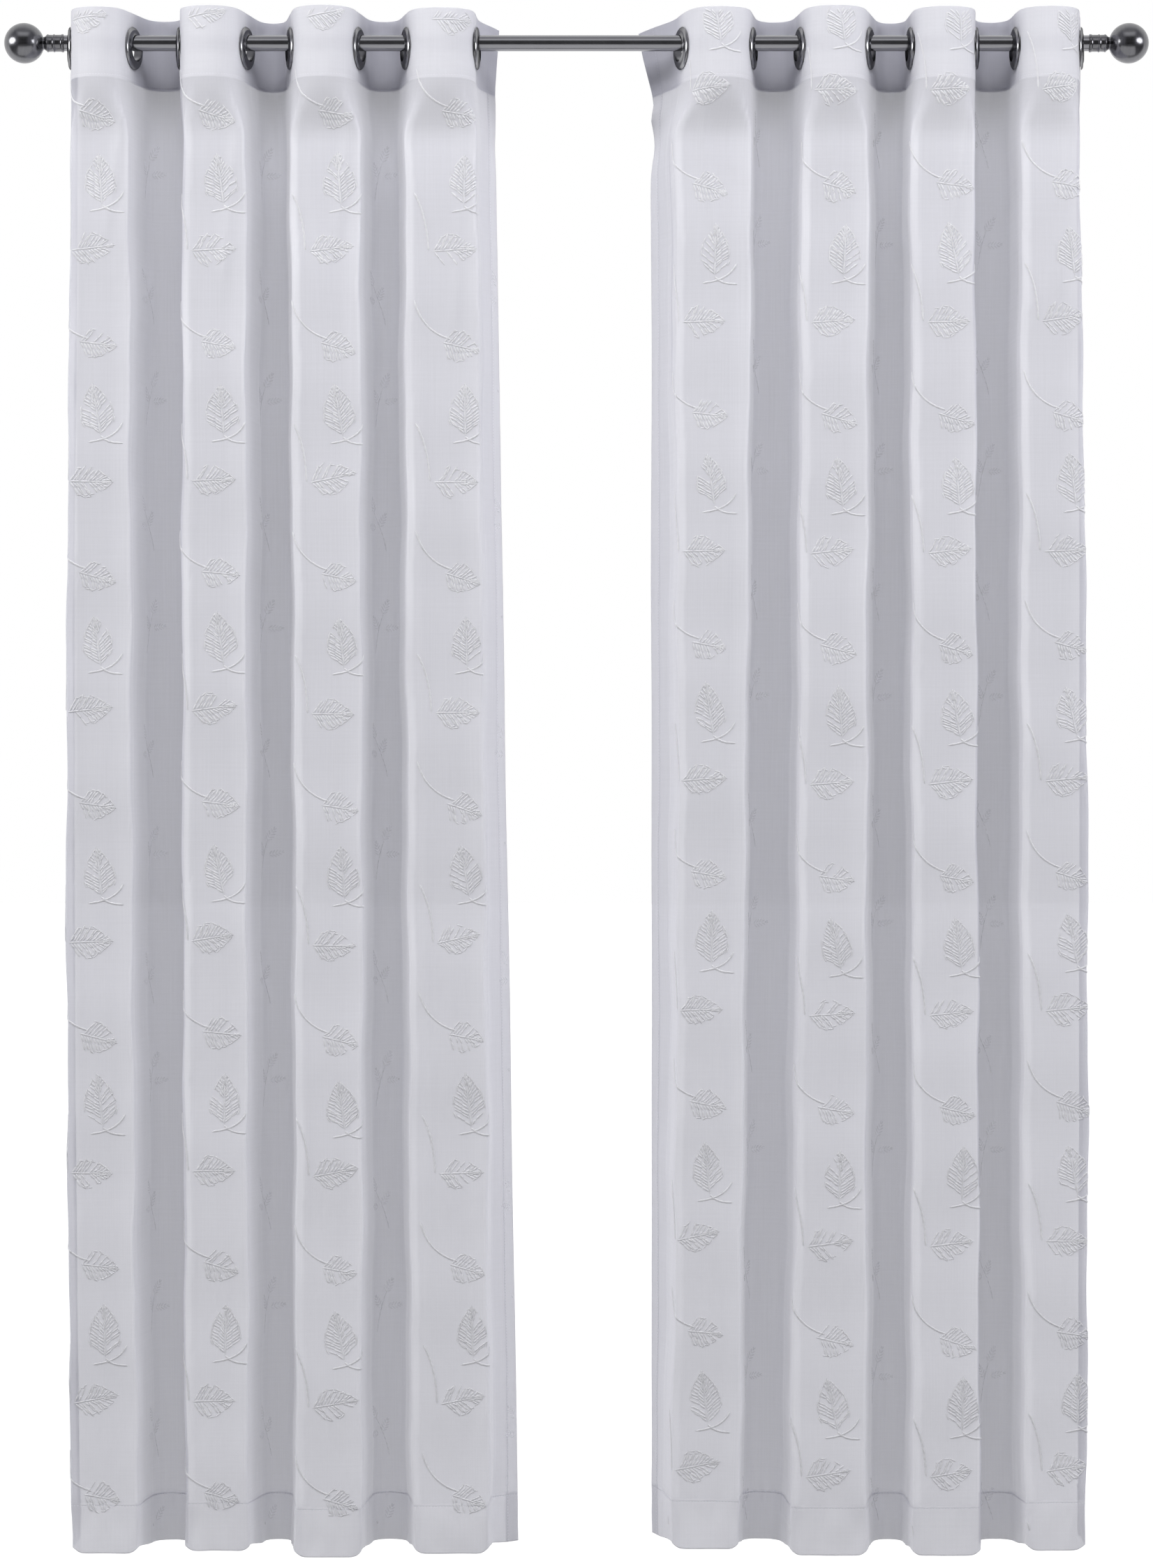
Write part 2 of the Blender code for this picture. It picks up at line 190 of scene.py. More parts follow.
# Soft troughs and ridges of the hanging cloth: across, from and to down the cloth, half width,
# height towards the room, and how far it leans across by its end
CREASE_COLUMNS = ("across", "start", "end", "half_width", "height", "lean")
CREASES = {
    "left": (
        (0.128, 0.10, 2.05, 0.006, 0.0016, 0.004),
        (0.196, 0.09, 0.34, 0.007, 0.0030, -0.030),
        (0.222, 0.30, 1.95, 0.006, -0.0014, 0.006),
        (0.300, 0.15, 1.20, 0.012, 0.0022, 0.010),
        (0.462, 0.11, 2.13, 0.006, 0.0018, -0.003),
        (0.530, 0.09, 0.42, 0.008, 0.0032, -0.026),
        (0.545, 0.60, 2.00, 0.007, -0.0016, 0.008),
        (0.640, 0.30, 1.60, 0.014, -0.0025, 0.012),
        (0.790, 0.10, 1.90, 0.006, 0.0018, 0.004),
        (0.868, 0.09, 0.36, 0.007, 0.0030, -0.028),
        (0.880, 0.70, 2.13, 0.007, 0.0018, -0.010),
        (1.130, 0.10, 2.05, 0.007, 0.0020, 0.006),
        (1.196, 0.10, 0.50, 0.009, 0.0028, -0.022),
        (1.270, 0.12, 1.70, 0.008, -0.0020, -0.008),
    ),
    "right": (
        (0.052, 0.05, 0.60, 0.006, -0.0034, 0.016),
        (0.060, 0.50, 2.13, 0.007, 0.0022, -0.004),
        (0.140, 0.10, 0.36, 0.008, 0.0030, 0.030),
        (0.176, 0.20, 2.00, 0.006, 0.0016, 0.004),
        (0.322, 0.14, 1.40, 0.012, 0.0024, -0.012),
        (0.430, 0.10, 2.13, 0.006, 0.0018, 0.003),
        (0.478, 0.09, 0.40, 0.008, 0.0030, 0.028),
        (0.560, 0.50, 1.90, 0.007, -0.0016, -0.006),
        (0.650, 0.25, 1.75, 0.013, -0.0022, 0.010),
        (0.770, 0.10, 2.05, 0.006, 0.0018, -0.004),
        (0.866, 0.09, 0.34, 0.007, 0.0030, -0.028),
        (0.990, 0.30, 1.50, 0.012, 0.0022, 0.008),
        (1.100, 0.12, 2.13, 0.006, 0.0018, 0.004),
        (1.190, 0.10, 0.44, 0.008, 0.0028, -0.022),
    ),
}

# The hanging cloth is worked out on a grid this fine, and cut on a coarser one
STEP_ACROSS = 0.0015
STEP_DOWN = 0.0120
FACE_CUT_STEP = 0.0050
CORNER_CUT_STEP = 0.0021
CORNER_FROM_MIDDLE = 0.042
HEADING_CUT_STEP = 0.0060
BODY_CUT_STEP = 0.0150

# Embroidery: how far the design repeats across and down, and its threads
REPEAT_ACROSS = 0.3435
REPEAT_DOWN = 0.3185
DESIGN_START = {"left": (0.0585, -0.1771), "right": (0.0575, -0.0790)}
THREAD_LIFT = 0.0003
THREAD_HEIGHT = 0.0009
STITCH_WIDTH = 0.0025
STEM_WIDTH = 0.0028
TWIG_SHARE = 0.30
TWIG_OPACITY = 0.20
LEAF_OPACITY = 0.92
THREAD_TONES = ((0.86, 0.86, 0.89), (0.97, 0.97, 0.98))
STEM_STITCH = 0.0085
EYELET_CLEARANCE = 0.0345

# One row for each leaf of a repeat: its base across and down from the repeat's start, the way it
# points in degrees (0 is to the right and 90 is down), its length, its width and its veins
LEAF_COLUMNS = ("across", "down", "points", "length", "width", "veins", "lobe")
LEAVES = (
    (0.074, 0.000, 12, 0.050, 0.040, 10, 0.20),
    (0.104, 0.128, -95, 0.070, 0.042, 14, 0.12),
    (0.060, 0.193, -6, 0.060, 0.040, 12, 0.24),
    (0.243, 0.052, -62, 0.026, 0.012, 5, 0.0),
    (0.236, 0.074, -112, 0.024, 0.011, 5, 0.0),
    (0.246, 0.072, -8, 0.024, 0.011, 5, 0.0),
    (0.228, 0.228, -118, 0.026, 0.012, 5, 0.0),
    (0.232, 0.250, -172, 0.024, 0.011, 5, 0.0),
    (0.238, 0.248, -66, 0.024, 0.011, 5, 0.0),
)

# One row for each stem of a repeat: its two ends and the point that its curve leans towards
STEM_COLUMNS = ("start", "lean", "end")
STEMS = (
    ((0.034, -0.058), (0.044, -0.018), (0.080, -0.006)),
    ((0.134, 0.112), (0.124, 0.134), (0.092, 0.138)),
    ((0.104, 0.130), (0.112, 0.140), (0.130, 0.140)),
    ((0.036, 0.112), (0.052, 0.140), (0.054, 0.186)),
    ((0.230, 0.108), (0.234, 0.080), (0.243, 0.054)),
    ((0.248, 0.282), (0.244, 0.256), (0.229, 0.230)),
)

# Metalwork
ROD_RADIUS = 0.011
ROD_HALF_LENGTH = 0.7135
EYELET_MIDDLE_RADIUS = 0.0241
EYELET_HALF_BAND = 0.0059
EYELET_FLATNESS = 0.76
EYELET_BARREL = 1.55
EYELET_GROOVE_RADIUS = 0.0250
EYELET_HEIGHT = TOP_Z - EYELET_DROP

# The finial's outline from the ball's pole to its socket: distance from the rod's middle, radius
BALL_RADIUS = 0.0278
BALL_CENTRE = 0.7690
BALL_STEPS = 26
NECK_START = 0.7428
FINIAL_COLLAR = (
    (0.7422, 0.0088), (0.7412, 0.0087), (0.7400, 0.0094), (0.7384, 0.0106), (0.7376, 0.0113),
    (0.7368, 0.0122), (0.7358, 0.0124), (0.7350, 0.0121), (0.7345, 0.0117), (0.7288, 0.0116),
    (0.7284, 0.0119), (0.7277, 0.0124), (0.7268, 0.0124), (0.7261, 0.0119), (0.7257, 0.0116),
    (0.7180, 0.0117), (0.7172, 0.0120), (0.7164, 0.0124), (0.7150, 0.0125), (0.7142, 0.0122),
    (0.7142, 0.0112),
)


def smooth(value):
    value = np.clip(value, 0.0, 1.0)
    return value * value * (3.0 - 2.0 * value)


def as_rows(table, columns):
    return [dict(zip(columns, row)) for row in table]


def deselect_all():
    if bpy.context.object and bpy.context.object.mode != "OBJECT":
        bpy.ops.object.mode_set(mode="OBJECT")
    bpy.ops.object.select_all(action="DESELECT")


def select_only(piece):
    deselect_all()
    piece.select_set(True)
    bpy.context.view_layer.objects.active = piece


def finish_piece(piece, name, material):
    """Name a new piece, put its place into its mesh, and give it its finish and body."""
    select_only(piece)
    bpy.ops.object.transform_apply(location=True, rotation=True, scale=True)
    piece.name = name
    piece.data.name = name
    piece.data.materials.clear()
    piece.data.materials.append(material)
    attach(piece, "root")
    return piece


# Camera, floor and light

def make_camera():
    camera = bpy.data.cameras.new("Camera")
    camera.sensor_fit = "VERTICAL"
    camera.sensor_height = SENSOR_HEIGHT * 1000
    view_height = PHOTO_HEIGHT * METRES_PER_PIXEL_AT_ROD
    camera.lens = camera.sensor_height * VIEW_DISTANCE / view_height
    camera.clip_end = 60.0
    holder = bpy.data.objects.new("Camera", camera)
    bpy.context.scene.collection.objects.link(holder)
    eye_level = -(PHOTO_HEIGHT / 2 - ROD_ROW) * METRES_PER_PIXEL_AT_ROD
    holder.location = (0.0, -VIEW_DISTANCE, eye_level)
    holder.rotation_euler = (math.pi / 2, 0.0, 0.0)
    bpy.context.scene.camera = holder


def make_lights():
    """Soft boxes at both sides and above, and a low card that only the metal reflects."""
    for light in as_rows(LIGHTS, LIGHT_COLUMNS):
        lamp = bpy.data.lights.new(light["name"], "AREA")
        lamp.shape = light["shape"]
        lamp.size, lamp.size_y = light["size"]
        lamp.energy = light["power"]
        lamp.color = light["colour"]
        holder = bpy.data.objects.new(light["name"], lamp)
        holder.location = light["place"]
        aim = Vector(light["target"]) - Vector(light["place"])
        holder.rotation_euler = aim.to_track_quat("-Z", "Y").to_euler()
        bpy.context.scene.collection.objects.link(holder)
    bpy.data.objects["Top soft box"].visible_glossy = False
    card = bpy.data.objects["Low card"]
    card.visible_camera = False
    card.visible_diffuse = False
    card.visible_transmission = False


def seen_directly(tree):
    """1 for what the camera sees, also through the cloth, and for reflections in the metal."""
    path = tree.nodes.new("ShaderNodeLightPath")
    return maths(tree, "MAXIMUM", path.outputs["Is Camera Ray"], path.outputs["Is Glossy Ray"])


def make_world():
    """White behind the curtains, and on the room's side a dim studio with a bright ceiling band.

    The white is kept from lighting the cloth, as in a picture cut out from its background.
    """
    world = bpy.data.worlds.new("Studio")
    bpy.context.scene.world = world
    world.use_nodes = True
    tree = world.node_tree
    background = tree.nodes["Background"]
    place = tree.nodes.new("ShaderNodeTexCoord")
    parts = tree.nodes.new("ShaderNodeSeparateXYZ")
    tree.links.new(place.outputs["Generated"], parts.inputs["Vector"])
    height = tree.nodes.new("ShaderNodeValToRGB")
    height.color_ramp.elements[0].position = 0.0
    height.color_ramp.elements[0].color = (0.55, 0.55, 0.58, 1.0)
    height.color_ramp.elements[1].position = 1.0
    height.color_ramp.elements[1].color = (0.50, 0.50, 0.53, 1.0)
    for position, grey in STUDIO_GREYS:
        stop = height.color_ramp.elements.new(position)
        stop.color = (grey, grey, grey * 1.03, 1.0)
    tree.links.new(ranged(tree, parts.outputs["Z"], -1.0, 1.0, 0.0, 1.0), height.inputs["Fac"])
    wide = ranged(tree, maths(tree, "ABSOLUTE", parts.outputs["X"]), 0.30, 0.62, 0.0, 1.0, "SMOOTHSTEP")
    raised = ranged(tree, parts.outputs["Z"], -0.45, 0.10, 0.0, 1.0)
    room = blended(tree, wide, height.outputs["Color"], blended(tree, raised, *ROOM_SIDES))
    away = ranged(tree, parts.outputs["Y"], -0.20, 0.25, 0.0, 1.0)
    white = blended(tree, seen_directly(tree), UNSEEN_WHITE, (1.0, 1.0, 1.0))
    tree.links.new(blended(tree, away, room, white), background.inputs["Color"])
    background.inputs["Strength"].default_value = 1.0


def make_floor():
    """A dark floor with a painted glow that rises towards the back, bright enough there to run into the
    white behind the curtains.
    """
    deselect_all()
    bpy.ops.mesh.primitive_plane_add(size=40.0, location=(0.0, 20.0 - FLOOR_FRONT, FLOOR_Z))
    bpy.ops.object.transform_apply(location=True)
    floor = bpy.context.object
    floor.name = "floor"
    floor.data.name = "floor"
    paint = bpy.data.materials.new("floor with painted glow")
    paint.use_nodes = True
    shader = paint.node_tree.nodes["Principled BSDF"]
    shader.inputs["Base Color"].default_value = (0.20, 0.20, 0.20, 1.0)
    shader.inputs["Roughness"].default_value = 0.9
    place = paint.node_tree.nodes.new("ShaderNodeTexCoord").outputs["Object"]
    parts = paint.node_tree.nodes.new("ShaderNodeSeparateXYZ")
    paint.node_tree.links.new(place, parts.inputs["Vector"])
    # Painted glow: emission from almost none in front of the curtains to near white behind them
    glow = ranged(paint.node_tree, parts.outputs["Y"], -0.1, 0.9, 0.01, 0.95, "SMOOTHSTEP")
    paint.node_tree.links.new(glow, shader.inputs["Emission Color"])
    shader.inputs["Emission Strength"].default_value = 1.0
    floor.data.materials.append(paint)


# Materials

def new_group(name, inputs, outputs):
    group = bpy.data.node_groups.new(name, "ShaderNodeTree")
    for label, kind, value in inputs:
        socket = group.interface.new_socket(label, in_out="INPUT", socket_type=kind)
        socket.default_value = value
    for label, kind in outputs:
        group.interface.new_socket(label, in_out="OUTPUT", socket_type=kind)
    return group, group.nodes.new("NodeGroupInput"), group.nodes.new("NodeGroupOutput")


def maths(tree, operation, first, second=0.0, third=0.0, clamp=False):
    node = tree.nodes.new("ShaderNodeMath")
    node.operation = operation
    node.use_clamp = clamp
    for index, value in enumerate((first, second, third)):
        if isinstance(value, bpy.types.NodeSocket):
            tree.links.new(value, node.inputs[index])
        else:
            node.inputs[index].default_value = value
    return node.outputs[0]


def ranged(tree, value, low, high, to_low, to_high, kind="LINEAR"):
    node = tree.nodes.new("ShaderNodeMapRange")
    node.interpolation_type = kind
    tree.links.new(value, node.inputs["Value"])
    for label, number in (("From Min", low), ("From Max", high), ("To Min", to_low), ("To Max", to_high)):
        node.inputs[label].default_value = number
    return node.outputs["Result"]


def noise_node(tree, vector, scale, detail=2.0, roughness=0.5):
    node = tree.nodes.new("ShaderNodeTexNoise")
    tree.links.new(vector, node.inputs["Vector"])
    node.inputs["Scale"].default_value = scale
    node.inputs["Detail"].default_value = detail
    node.inputs["Roughness"].default_value = roughness
    return node.outputs["Fac"]


def stretched(tree, vector, factors):
    node = tree.nodes.new("ShaderNodeMapping")
    tree.links.new(vector, node.inputs["Vector"])
    node.inputs["Scale"].default_value = factors
    return node.outputs["Vector"]


def voile_weave_group():
    """Crossing fine threads with thicker slubs: how high, how dense and how pale the cloth is."""
    group, source, result = new_group(
        "Voile weave",
        (("Place", "NodeSocketVector", (0.0, 0.0, 0.0)), ("Threads per metre", "NodeSocketFloat", 900.0)),
        (("Height", "NodeSocketFloat"), ("Density", "NodeSocketFloat"), ("Tone", "NodeSocketFloat")),
    )
    parts = group.nodes.new("ShaderNodeSeparateXYZ")
    group.links.new(source.outputs["Place"], parts.inputs["Vector"])
    turns = maths(group, "MULTIPLY", source.outputs["Threads per metre"], math.tau)
    waves = []
    for axis in ("X", "Y"):
        phase = maths(group, "MULTIPLY", parts.outputs[axis], turns)
        wave = maths(group, "SINE", phase)
        waves.append(maths(group, "MULTIPLY_ADD", wave, 0.5, 0.5))
    threads = maths(group, "MAXIMUM", waves[0], waves[1])
    warp = noise_node(group, stretched(group, source.outputs["Place"], (420.0, 7.0, 1.0)), 1.0, 3.0, 0.6)
    weft = noise_node(group, stretched(group, source.outputs["Place"], (9.0, 330.0, 1.0)), 1.0, 3.0, 0.6)
    slubs = maths(group, "ADD", maths(group, "MULTIPLY", warp, 0.6), maths(group, "MULTIPLY", weft, 0.4))
    cloud = noise_node(group, source.outputs["Place"], 9.0, 3.0, 0.55)
    group.links.new(maths(group, "MULTIPLY_ADD", slubs, 0.8, maths(group, "MULTIPLY", threads, 0.5)),
                    result.inputs["Height"])
    dense = maths(group, "MULTIPLY_ADD", threads, 0.5, maths(group, "MULTIPLY", slubs, 0.9))
    group.links.new(maths(group, "SUBTRACT", dense, 0.30, clamp=True), result.inputs["Density"])
    group.links.new(maths(group, "MULTIPLY_ADD", slubs, 0.6, maths(group, "MULTIPLY", cloud, 0.4)),
                    result.inputs["Tone"])
    return group


def stitch_row_group():
    """A row of lock stitches along a line: a mask of the thread dashes."""
    group, source, result = new_group(
        "Stitch row",
        (("Across row", "NodeSocketFloat", 0.0), ("Along row", "NodeSocketFloat", 0.0),
         ("Row at", "NodeSocketFloat", 0.0)),
        (("Thread", "NodeSocketFloat"),),
    )
    away = maths(group, "ABSOLUTE", maths(group, "SUBTRACT", source.outputs["Across row"],
                                          source.outputs["Row at"]))
    near = ranged(group, away, 0.0005, 0.0012, 1.0, 0.0, "SMOOTHSTEP")
    dash = maths(group, "SINE", maths(group, "MULTIPLY", source.outputs["Along row"], math.tau / 0.0042))
    held = ranged(group, dash, -0.75, -0.35, 0.15, 1.0, "SMOOTHSTEP")
    group.links.new(maths(group, "MULTIPLY", near, held), result.inputs["Thread"])
    return group


def metal_wear_group():
    """Faint clouds, turning lines and fine scratches of a plated surface."""
    group, source, result = new_group(
        "Plated wear",
        (("Place", "NodeSocketVector", (0.0, 0.0, 0.0)),
         ("Line scale", "NodeSocketVector", (1.0, 1.0, 1.0))),
        (("Tone", "NodeSocketFloat"), ("Roughness", "NodeSocketFloat"), ("Height", "NodeSocketFloat")),
    )
    scaled = group.nodes.new("ShaderNodeVectorMath")
    scaled.operation = "MULTIPLY"
    group.links.new(source.outputs["Place"], scaled.inputs[0])
    group.links.new(source.outputs["Line scale"], scaled.inputs[1])
    lines = noise_node(group, scaled.outputs["Vector"], 1.0, 4.0, 0.65)
    cloud = noise_node(group, source.outputs["Place"], 38.0, 3.0, 0.6)
    group.links.new(maths(group, "MULTIPLY_ADD", lines, 0.6, maths(group, "MULTIPLY", cloud, 0.4)),
                    result.inputs["Tone"])
    lined = maths(group, "MULTIPLY_ADD", lines, 0.08, 0.10)
    group.links.new(maths(group, "MULTIPLY_ADD", cloud, 0.14, lined), result.inputs["Roughness"])
    group.links.new(lines, result.inputs["Height"])
    return group


def place_group(tree, group, links):
    node = tree.nodes.new("ShaderNodeGroup")
    node.node_tree = group
    for label, value in links.items():
        if isinstance(value, bpy.types.NodeSocket):
            tree.links.new(value, node.inputs[label])
        else:
            node.inputs[label].default_value = value
    return node


def blended(tree, factor, first, second):
    """A mix of two colours, each given as a colour or taken from a socket."""
    mix = tree.nodes.new("ShaderNodeMix")
    mix.data_type = "RGBA"
    tree.links.new(factor, mix.inputs["Factor"])
    for label, value in (("A", first), ("B", second)):
        if isinstance(value, bpy.types.NodeSocket):
            tree.links.new(value, mix.inputs[label])
        else:
            mix.inputs[label].default_value = (*value, 1.0)
    return mix.outputs["Result"]


def attribute(tree, name):
    node = tree.nodes.new("ShaderNodeAttribute")
    node.attribute_name = name
    return node.outputs["Fac"]


def bumped(tree, height, strength, distance, before=None):
    bump = tree.nodes.new("ShaderNodeBump")
    bump.inputs["Strength"].default_value = strength
    bump.inputs["Distance"].default_value = distance
    tree.links.new(height, bump.inputs["Height"])
    if before is not None:
        tree.links.new(before, bump.inputs["Normal"])
    return bump.outputs["Normal"]


def voile_material(weave, stitch_row):
    """Sheer white voile, with the lock stitching of its heading, hem and side turnings."""
    material = bpy.data.materials.new("sheer white voile")
    material.use_nodes = True
    tree = material.node_tree
    shader = tree.nodes["Principled BSDF"]
    place = tree.nodes.new("ShaderNodeUVMap").outputs["UV"]
    parts = tree.nodes.new("ShaderNodeSeparateXYZ")
    tree.links.new(place, parts.inputs["Vector"])
    across, down = parts.outputs["X"], parts.outputs["Y"]
    cloth = place_group(tree, weave, {"Place": place, "Threads per metre": 900.0})
    thread = 0.0
    for off, along, line in (
        (down, across, HEADING_DEPTH - 0.004), (down, across, PANEL_LENGTH - HEM_DEPTH + 0.004),
        (across, down, SIDE_TURNING - 0.003), (across, down, PANEL_WIDTH - SIDE_TURNING + 0.003),
    ):
        row = place_group(tree, stitch_row, {"Across row": off, "Along row": along, "Row at": line})
        thread = maths(tree, "MAXIMUM", thread, row.outputs["Thread"])
    heading = ranged(tree, down, HEADING_DEPTH - 0.001, HEADING_DEPTH + 0.001, 1.0, 0.0)
    hem_top = PANEL_LENGTH - HEM_DEPTH
    hem = ranged(tree, down, hem_top - 0.001, hem_top + 0.001, 0.0, 1.0)
    inner = PANEL_WIDTH - SIDE_TURNING
    sides = maths(tree, "MAXIMUM",
                  ranged(tree, across, SIDE_TURNING - 0.001, SIDE_TURNING + 0.001, 1.0, 0.0),
                  ranged(tree, across, inner - 0.001, inner + 0.001, 0.0, 1.0))
    # Painted shade: the cloth is darkened for a hand's breadth just below the heading band
    under = ranged(tree, down, HEADING_DEPTH, HEADING_DEPTH + 0.10, 0.80, 0.0, "SMOOTHSTEP")
    # Painted highlight: the front folds' edges are lightened in colour and covered more densely
    fold_highlight = maths(tree, "MINIMUM", attribute(tree, "fold"), 1.0, clamp=True)
    # Painted shade: the heading is darkened where it lies deep in the valleys
    shaded = maths(tree, "MULTIPLY", heading, attribute(tree, "deep"))
    tone = blended(tree, cloth.outputs["Tone"], *VOILE_TONES)
    for share, colour in (
        (fold_highlight, FOLD_EDGE_HIGHLIGHT_TONE), (sides, SIDE_TONE), (hem, HEM_TONE), (under, PAINTED_SHADE_UNDER_HEADING),
        (heading, HEADING_TONE), (shaded, SHADED_HEADING_TONE),
    ):
        tone = blended(tree, share, tone, colour)
    tree.links.new(tone, shader.inputs["Base Color"])
    cover = maths(tree, "MULTIPLY_ADD", cloth.outputs["Density"], WEAVE_COVER, OPEN_COVER)
    cover = maths(tree, "MULTIPLY_ADD", heading, HEADING_COVER, cover)
    cover = maths(tree, "MULTIPLY_ADD", fold_highlight, FOLD_EDGE_COVER, cover)
    thinned = ranged(tree, attribute(tree, "turned"), 0.0, 1.0, 1.0, TURNED_DENSITY)
    cover = maths(tree, "MULTIPLY", cover, thinned)
    cover = maths(tree, "MAXIMUM", cover, ranged(tree, seen_directly(tree), 0.0, 1.0, SHADE_OPACITY, 0.0))
    tree.links.new(maths(tree, "MAXIMUM", cover, thread, clamp=True), shader.inputs["Alpha"])
    crumple = noise_node(tree, stretched(tree, place, (1.0, 0.45, 1.0)), 46.0, 3.0, 0.5)
    soft = bumped(tree, crumple, 0.35, 0.0016)
    fine = maths(tree, "ADD", cloth.outputs["Height"], thread)
    tree.links.new(bumped(tree, fine, 0.30, 0.0003, soft), shader.inputs["Normal"])
    shader.inputs["Roughness"].default_value = 0.75
    shader.inputs["Specular IOR Level"].default_value = 0.25
    shader.inputs["Sheen Weight"].default_value = 0.80
    shader.inputs["Sheen Roughness"].default_value = 0.35
    shader.inputs["Sheen Tint"].default_value = (0.96, 0.96, 1.0, 1.0)
    return material


def embroidery_material():
    """White satin thread: lustrous, with the fine lines of the stitches."""
    material = bpy.data.materials.new("white embroidery thread")
    material.use_nodes = True
    tree = material.node_tree
    shader = tree.nodes["Principled BSDF"]
    place = tree.nodes.new("ShaderNodeUVMap").outputs["UV"]
    strands = noise_node(tree, stretched(tree, place, (900.0, 260.0, 1.0)), 1.0, 2.0, 0.5)
    tree.links.new(blended(tree, strands, *THREAD_TONES), shader.inputs["Base Color"])
    tree.links.new(ranged(tree, strands, 0.0, 1.0, 0.32, 0.55), shader.inputs["Roughness"])
    tree.links.new(bumped(tree, strands, 0.4, 0.0004), shader.inputs["Normal"])
    opacity = ranged(tree, attribute(tree, "fine"), 0.0, 1.0, LEAF_OPACITY, TWIG_OPACITY)
    tree.links.new(opacity, shader.inputs["Alpha"])
    shader.inputs["Sheen Weight"].default_value = 0.3
    shader.inputs["Sheen Roughness"].default_value = 0.3
    return material


def pewter_material(name, wear):
    line_scale, pale, deep, edge = PEWTER[name]
    material = bpy.data.materials.new(name + " pewter")
    material.use_nodes = True
    tree = material.node_tree
    shader = tree.nodes["Principled BSDF"]
    place = tree.nodes.new("ShaderNodeTexCoord").outputs["Object"]
    surface = place_group(tree, wear, {"Place": place, "Line scale": line_scale})
    tree.links.new(blended(tree, surface.outputs["Tone"], deep, pale), shader.inputs["Base Color"])
    tree.links.new(surface.outputs["Roughness"], shader.inputs["Roughness"])
    tree.links.new(bumped(tree, surface.outputs["Height"], 0.12, 0.0002), shader.inputs["Normal"])
    shader.inputs["Metallic"].default_value = 1.0
    shader.inputs["Specular Tint"].default_value = (edge, edge, edge, 1.0)
    return material


# How the cloth hangs

def through_three(z, shoulder, middle, foot):
    """A smooth course through values at the shoulder, middle and foot heights."""
    z = min(z, SHOULDER_Z)
    a = (z - MIDDLE_Z) * (z - FOOT_Z) / ((SHOULDER_Z - MIDDLE_Z) * (SHOULDER_Z - FOOT_Z))
    b = (z - SHOULDER_Z) * (z - FOOT_Z) / ((MIDDLE_Z - SHOULDER_Z) * (MIDDLE_Z - FOOT_Z))
    c = (z - SHOULDER_Z) * (z - MIDDLE_Z) / ((FOOT_Z - SHOULDER_Z) * (FOOT_Z - MIDDLE_Z))
    return a * shoulder + b * middle + c * foot


def heading_share(z):
    """1 in the stiff heading band, falling to 0 at the shoulder."""
    return 1.0 - float(smooth((BAND_FOOT_Z - z) / (BAND_FOOT_Z - SHOULDER_Z)))


def sway(number, z):
    """The small wander of a wall down the cloth, none at the heading."""
    free = 1.0 - heading_share(z)
    slow = math.sin(z * 17.0 + number * 2.1)
    quick = math.sin(z * 41.0 + number * 3.7)
    return free * (0.0012 * slow + 0.0006 * quick)


def wall_at(number, wall, z):
    share = heading_share(z)
    edge = through_three(z, wall["shoulder_x"], wall["middle_x"], wall["foot_x"])
    body_turn = math.radians(wall["body_turn"])
    body_x = edge + EDGE_DEPTH * math.tan(body_turn) + sway(number, z)
    x = share * wall["rod_x"] + (1.0 - share) * body_x
    return x, share * math.radians(wall["heading_turn"]) + (1.0 - share) * body_turn


def arc(centre, radius, start, turn, steps):
    return [
        (centre[0] + radius * math.cos(start + turn * i / steps),
         centre[1] + radius * math.sin(start + turn * i / steps))
        for i in range(steps + 1)
    ]


def corner_radius(front, width, z):
    """How roundly a fold turns: wide in the stiff heading, tight at the body's front folds."""
    share = heading_share(z)
    heading, body = (
        (HEADING_FRONT_RADIUS, BODY_FRONT_RADIUS) if front else (HEADING_VALLEY_RADIUS, BODY_VALLEY_RADIUS)
    )
    fill = share * HEADING_FILL + (1.0 - share) * BODY_FILL
    return min(share * heading + (1.0 - share) * body, fill * width)


def fold_sizes(angles, width, radius):
    """How deep a fold is, and the length of each wall and its reach inward past the corner."""
    rise = [math.tan(angle / 2) for angle in angles]
    slack = EYELET_SPACING - width
    slack -= radius * sum(angle - math.sin(angle) for angle in angles)
    slack += radius * sum(k * (1.0 - math.cos(angle)) for k, angle in zip(rise, angles))
    depth = slack / sum(rise)
    walls = [(depth - radius * (1.0 - math.cos(angle))) / math.sin(angle) for angle in angles]
    reaches = [wall * math.cos(angle) + radius * math.sin(angle) for wall, angle in zip(walls, angles)]
    return walls, reaches


def half_wave(left, right, front, radius, loose):
    """The cloth's line from one wall's crossing to the next: wall, corner, face, corner, wall.

    Where it hangs loose, a front fold's corners roll out a little past their walls.
    """
    side = 1.0 if front else -1.0
    angles = (math.pi / 2 + side * left[1], math.pi / 2 - side * right[1])
    width = right[0] - left[0]
    walls, reaches = fold_sizes(angles, width, radius)
    while sum(reaches) > width * 0.96:
        radius *= 0.94
        walls, reaches = fold_sizes(angles, width, radius)
    halves = []
    lips = (LEFT_LIP * loose, RIGHT_LIP * loose) if front else (0.0, 0.0)
    sides = zip((left[0], right[0]), angles, walls, (1.0, -1.0), lips)
    for crossing, angle, wall, inward, lip in sides:
        centre = (
            wall * math.cos(angle) + radius * math.sin(angle),
            wall * math.sin(angle) - radius * math.cos(angle),
        )
        corner = []
        for step, (x, y) in enumerate(arc(centre, radius, math.pi / 2 + angle, -angle, 12)):
            roll = lip * math.sin(math.pi * step / 12) ** 2
            corner.append((x - roll * math.sin(angle / 2), y + roll * math.cos(angle / 2)))
        halves.append([(crossing + inward * x, -side * y) for x, y in corner])
    return halves[0] + list(reversed(halves[1]))


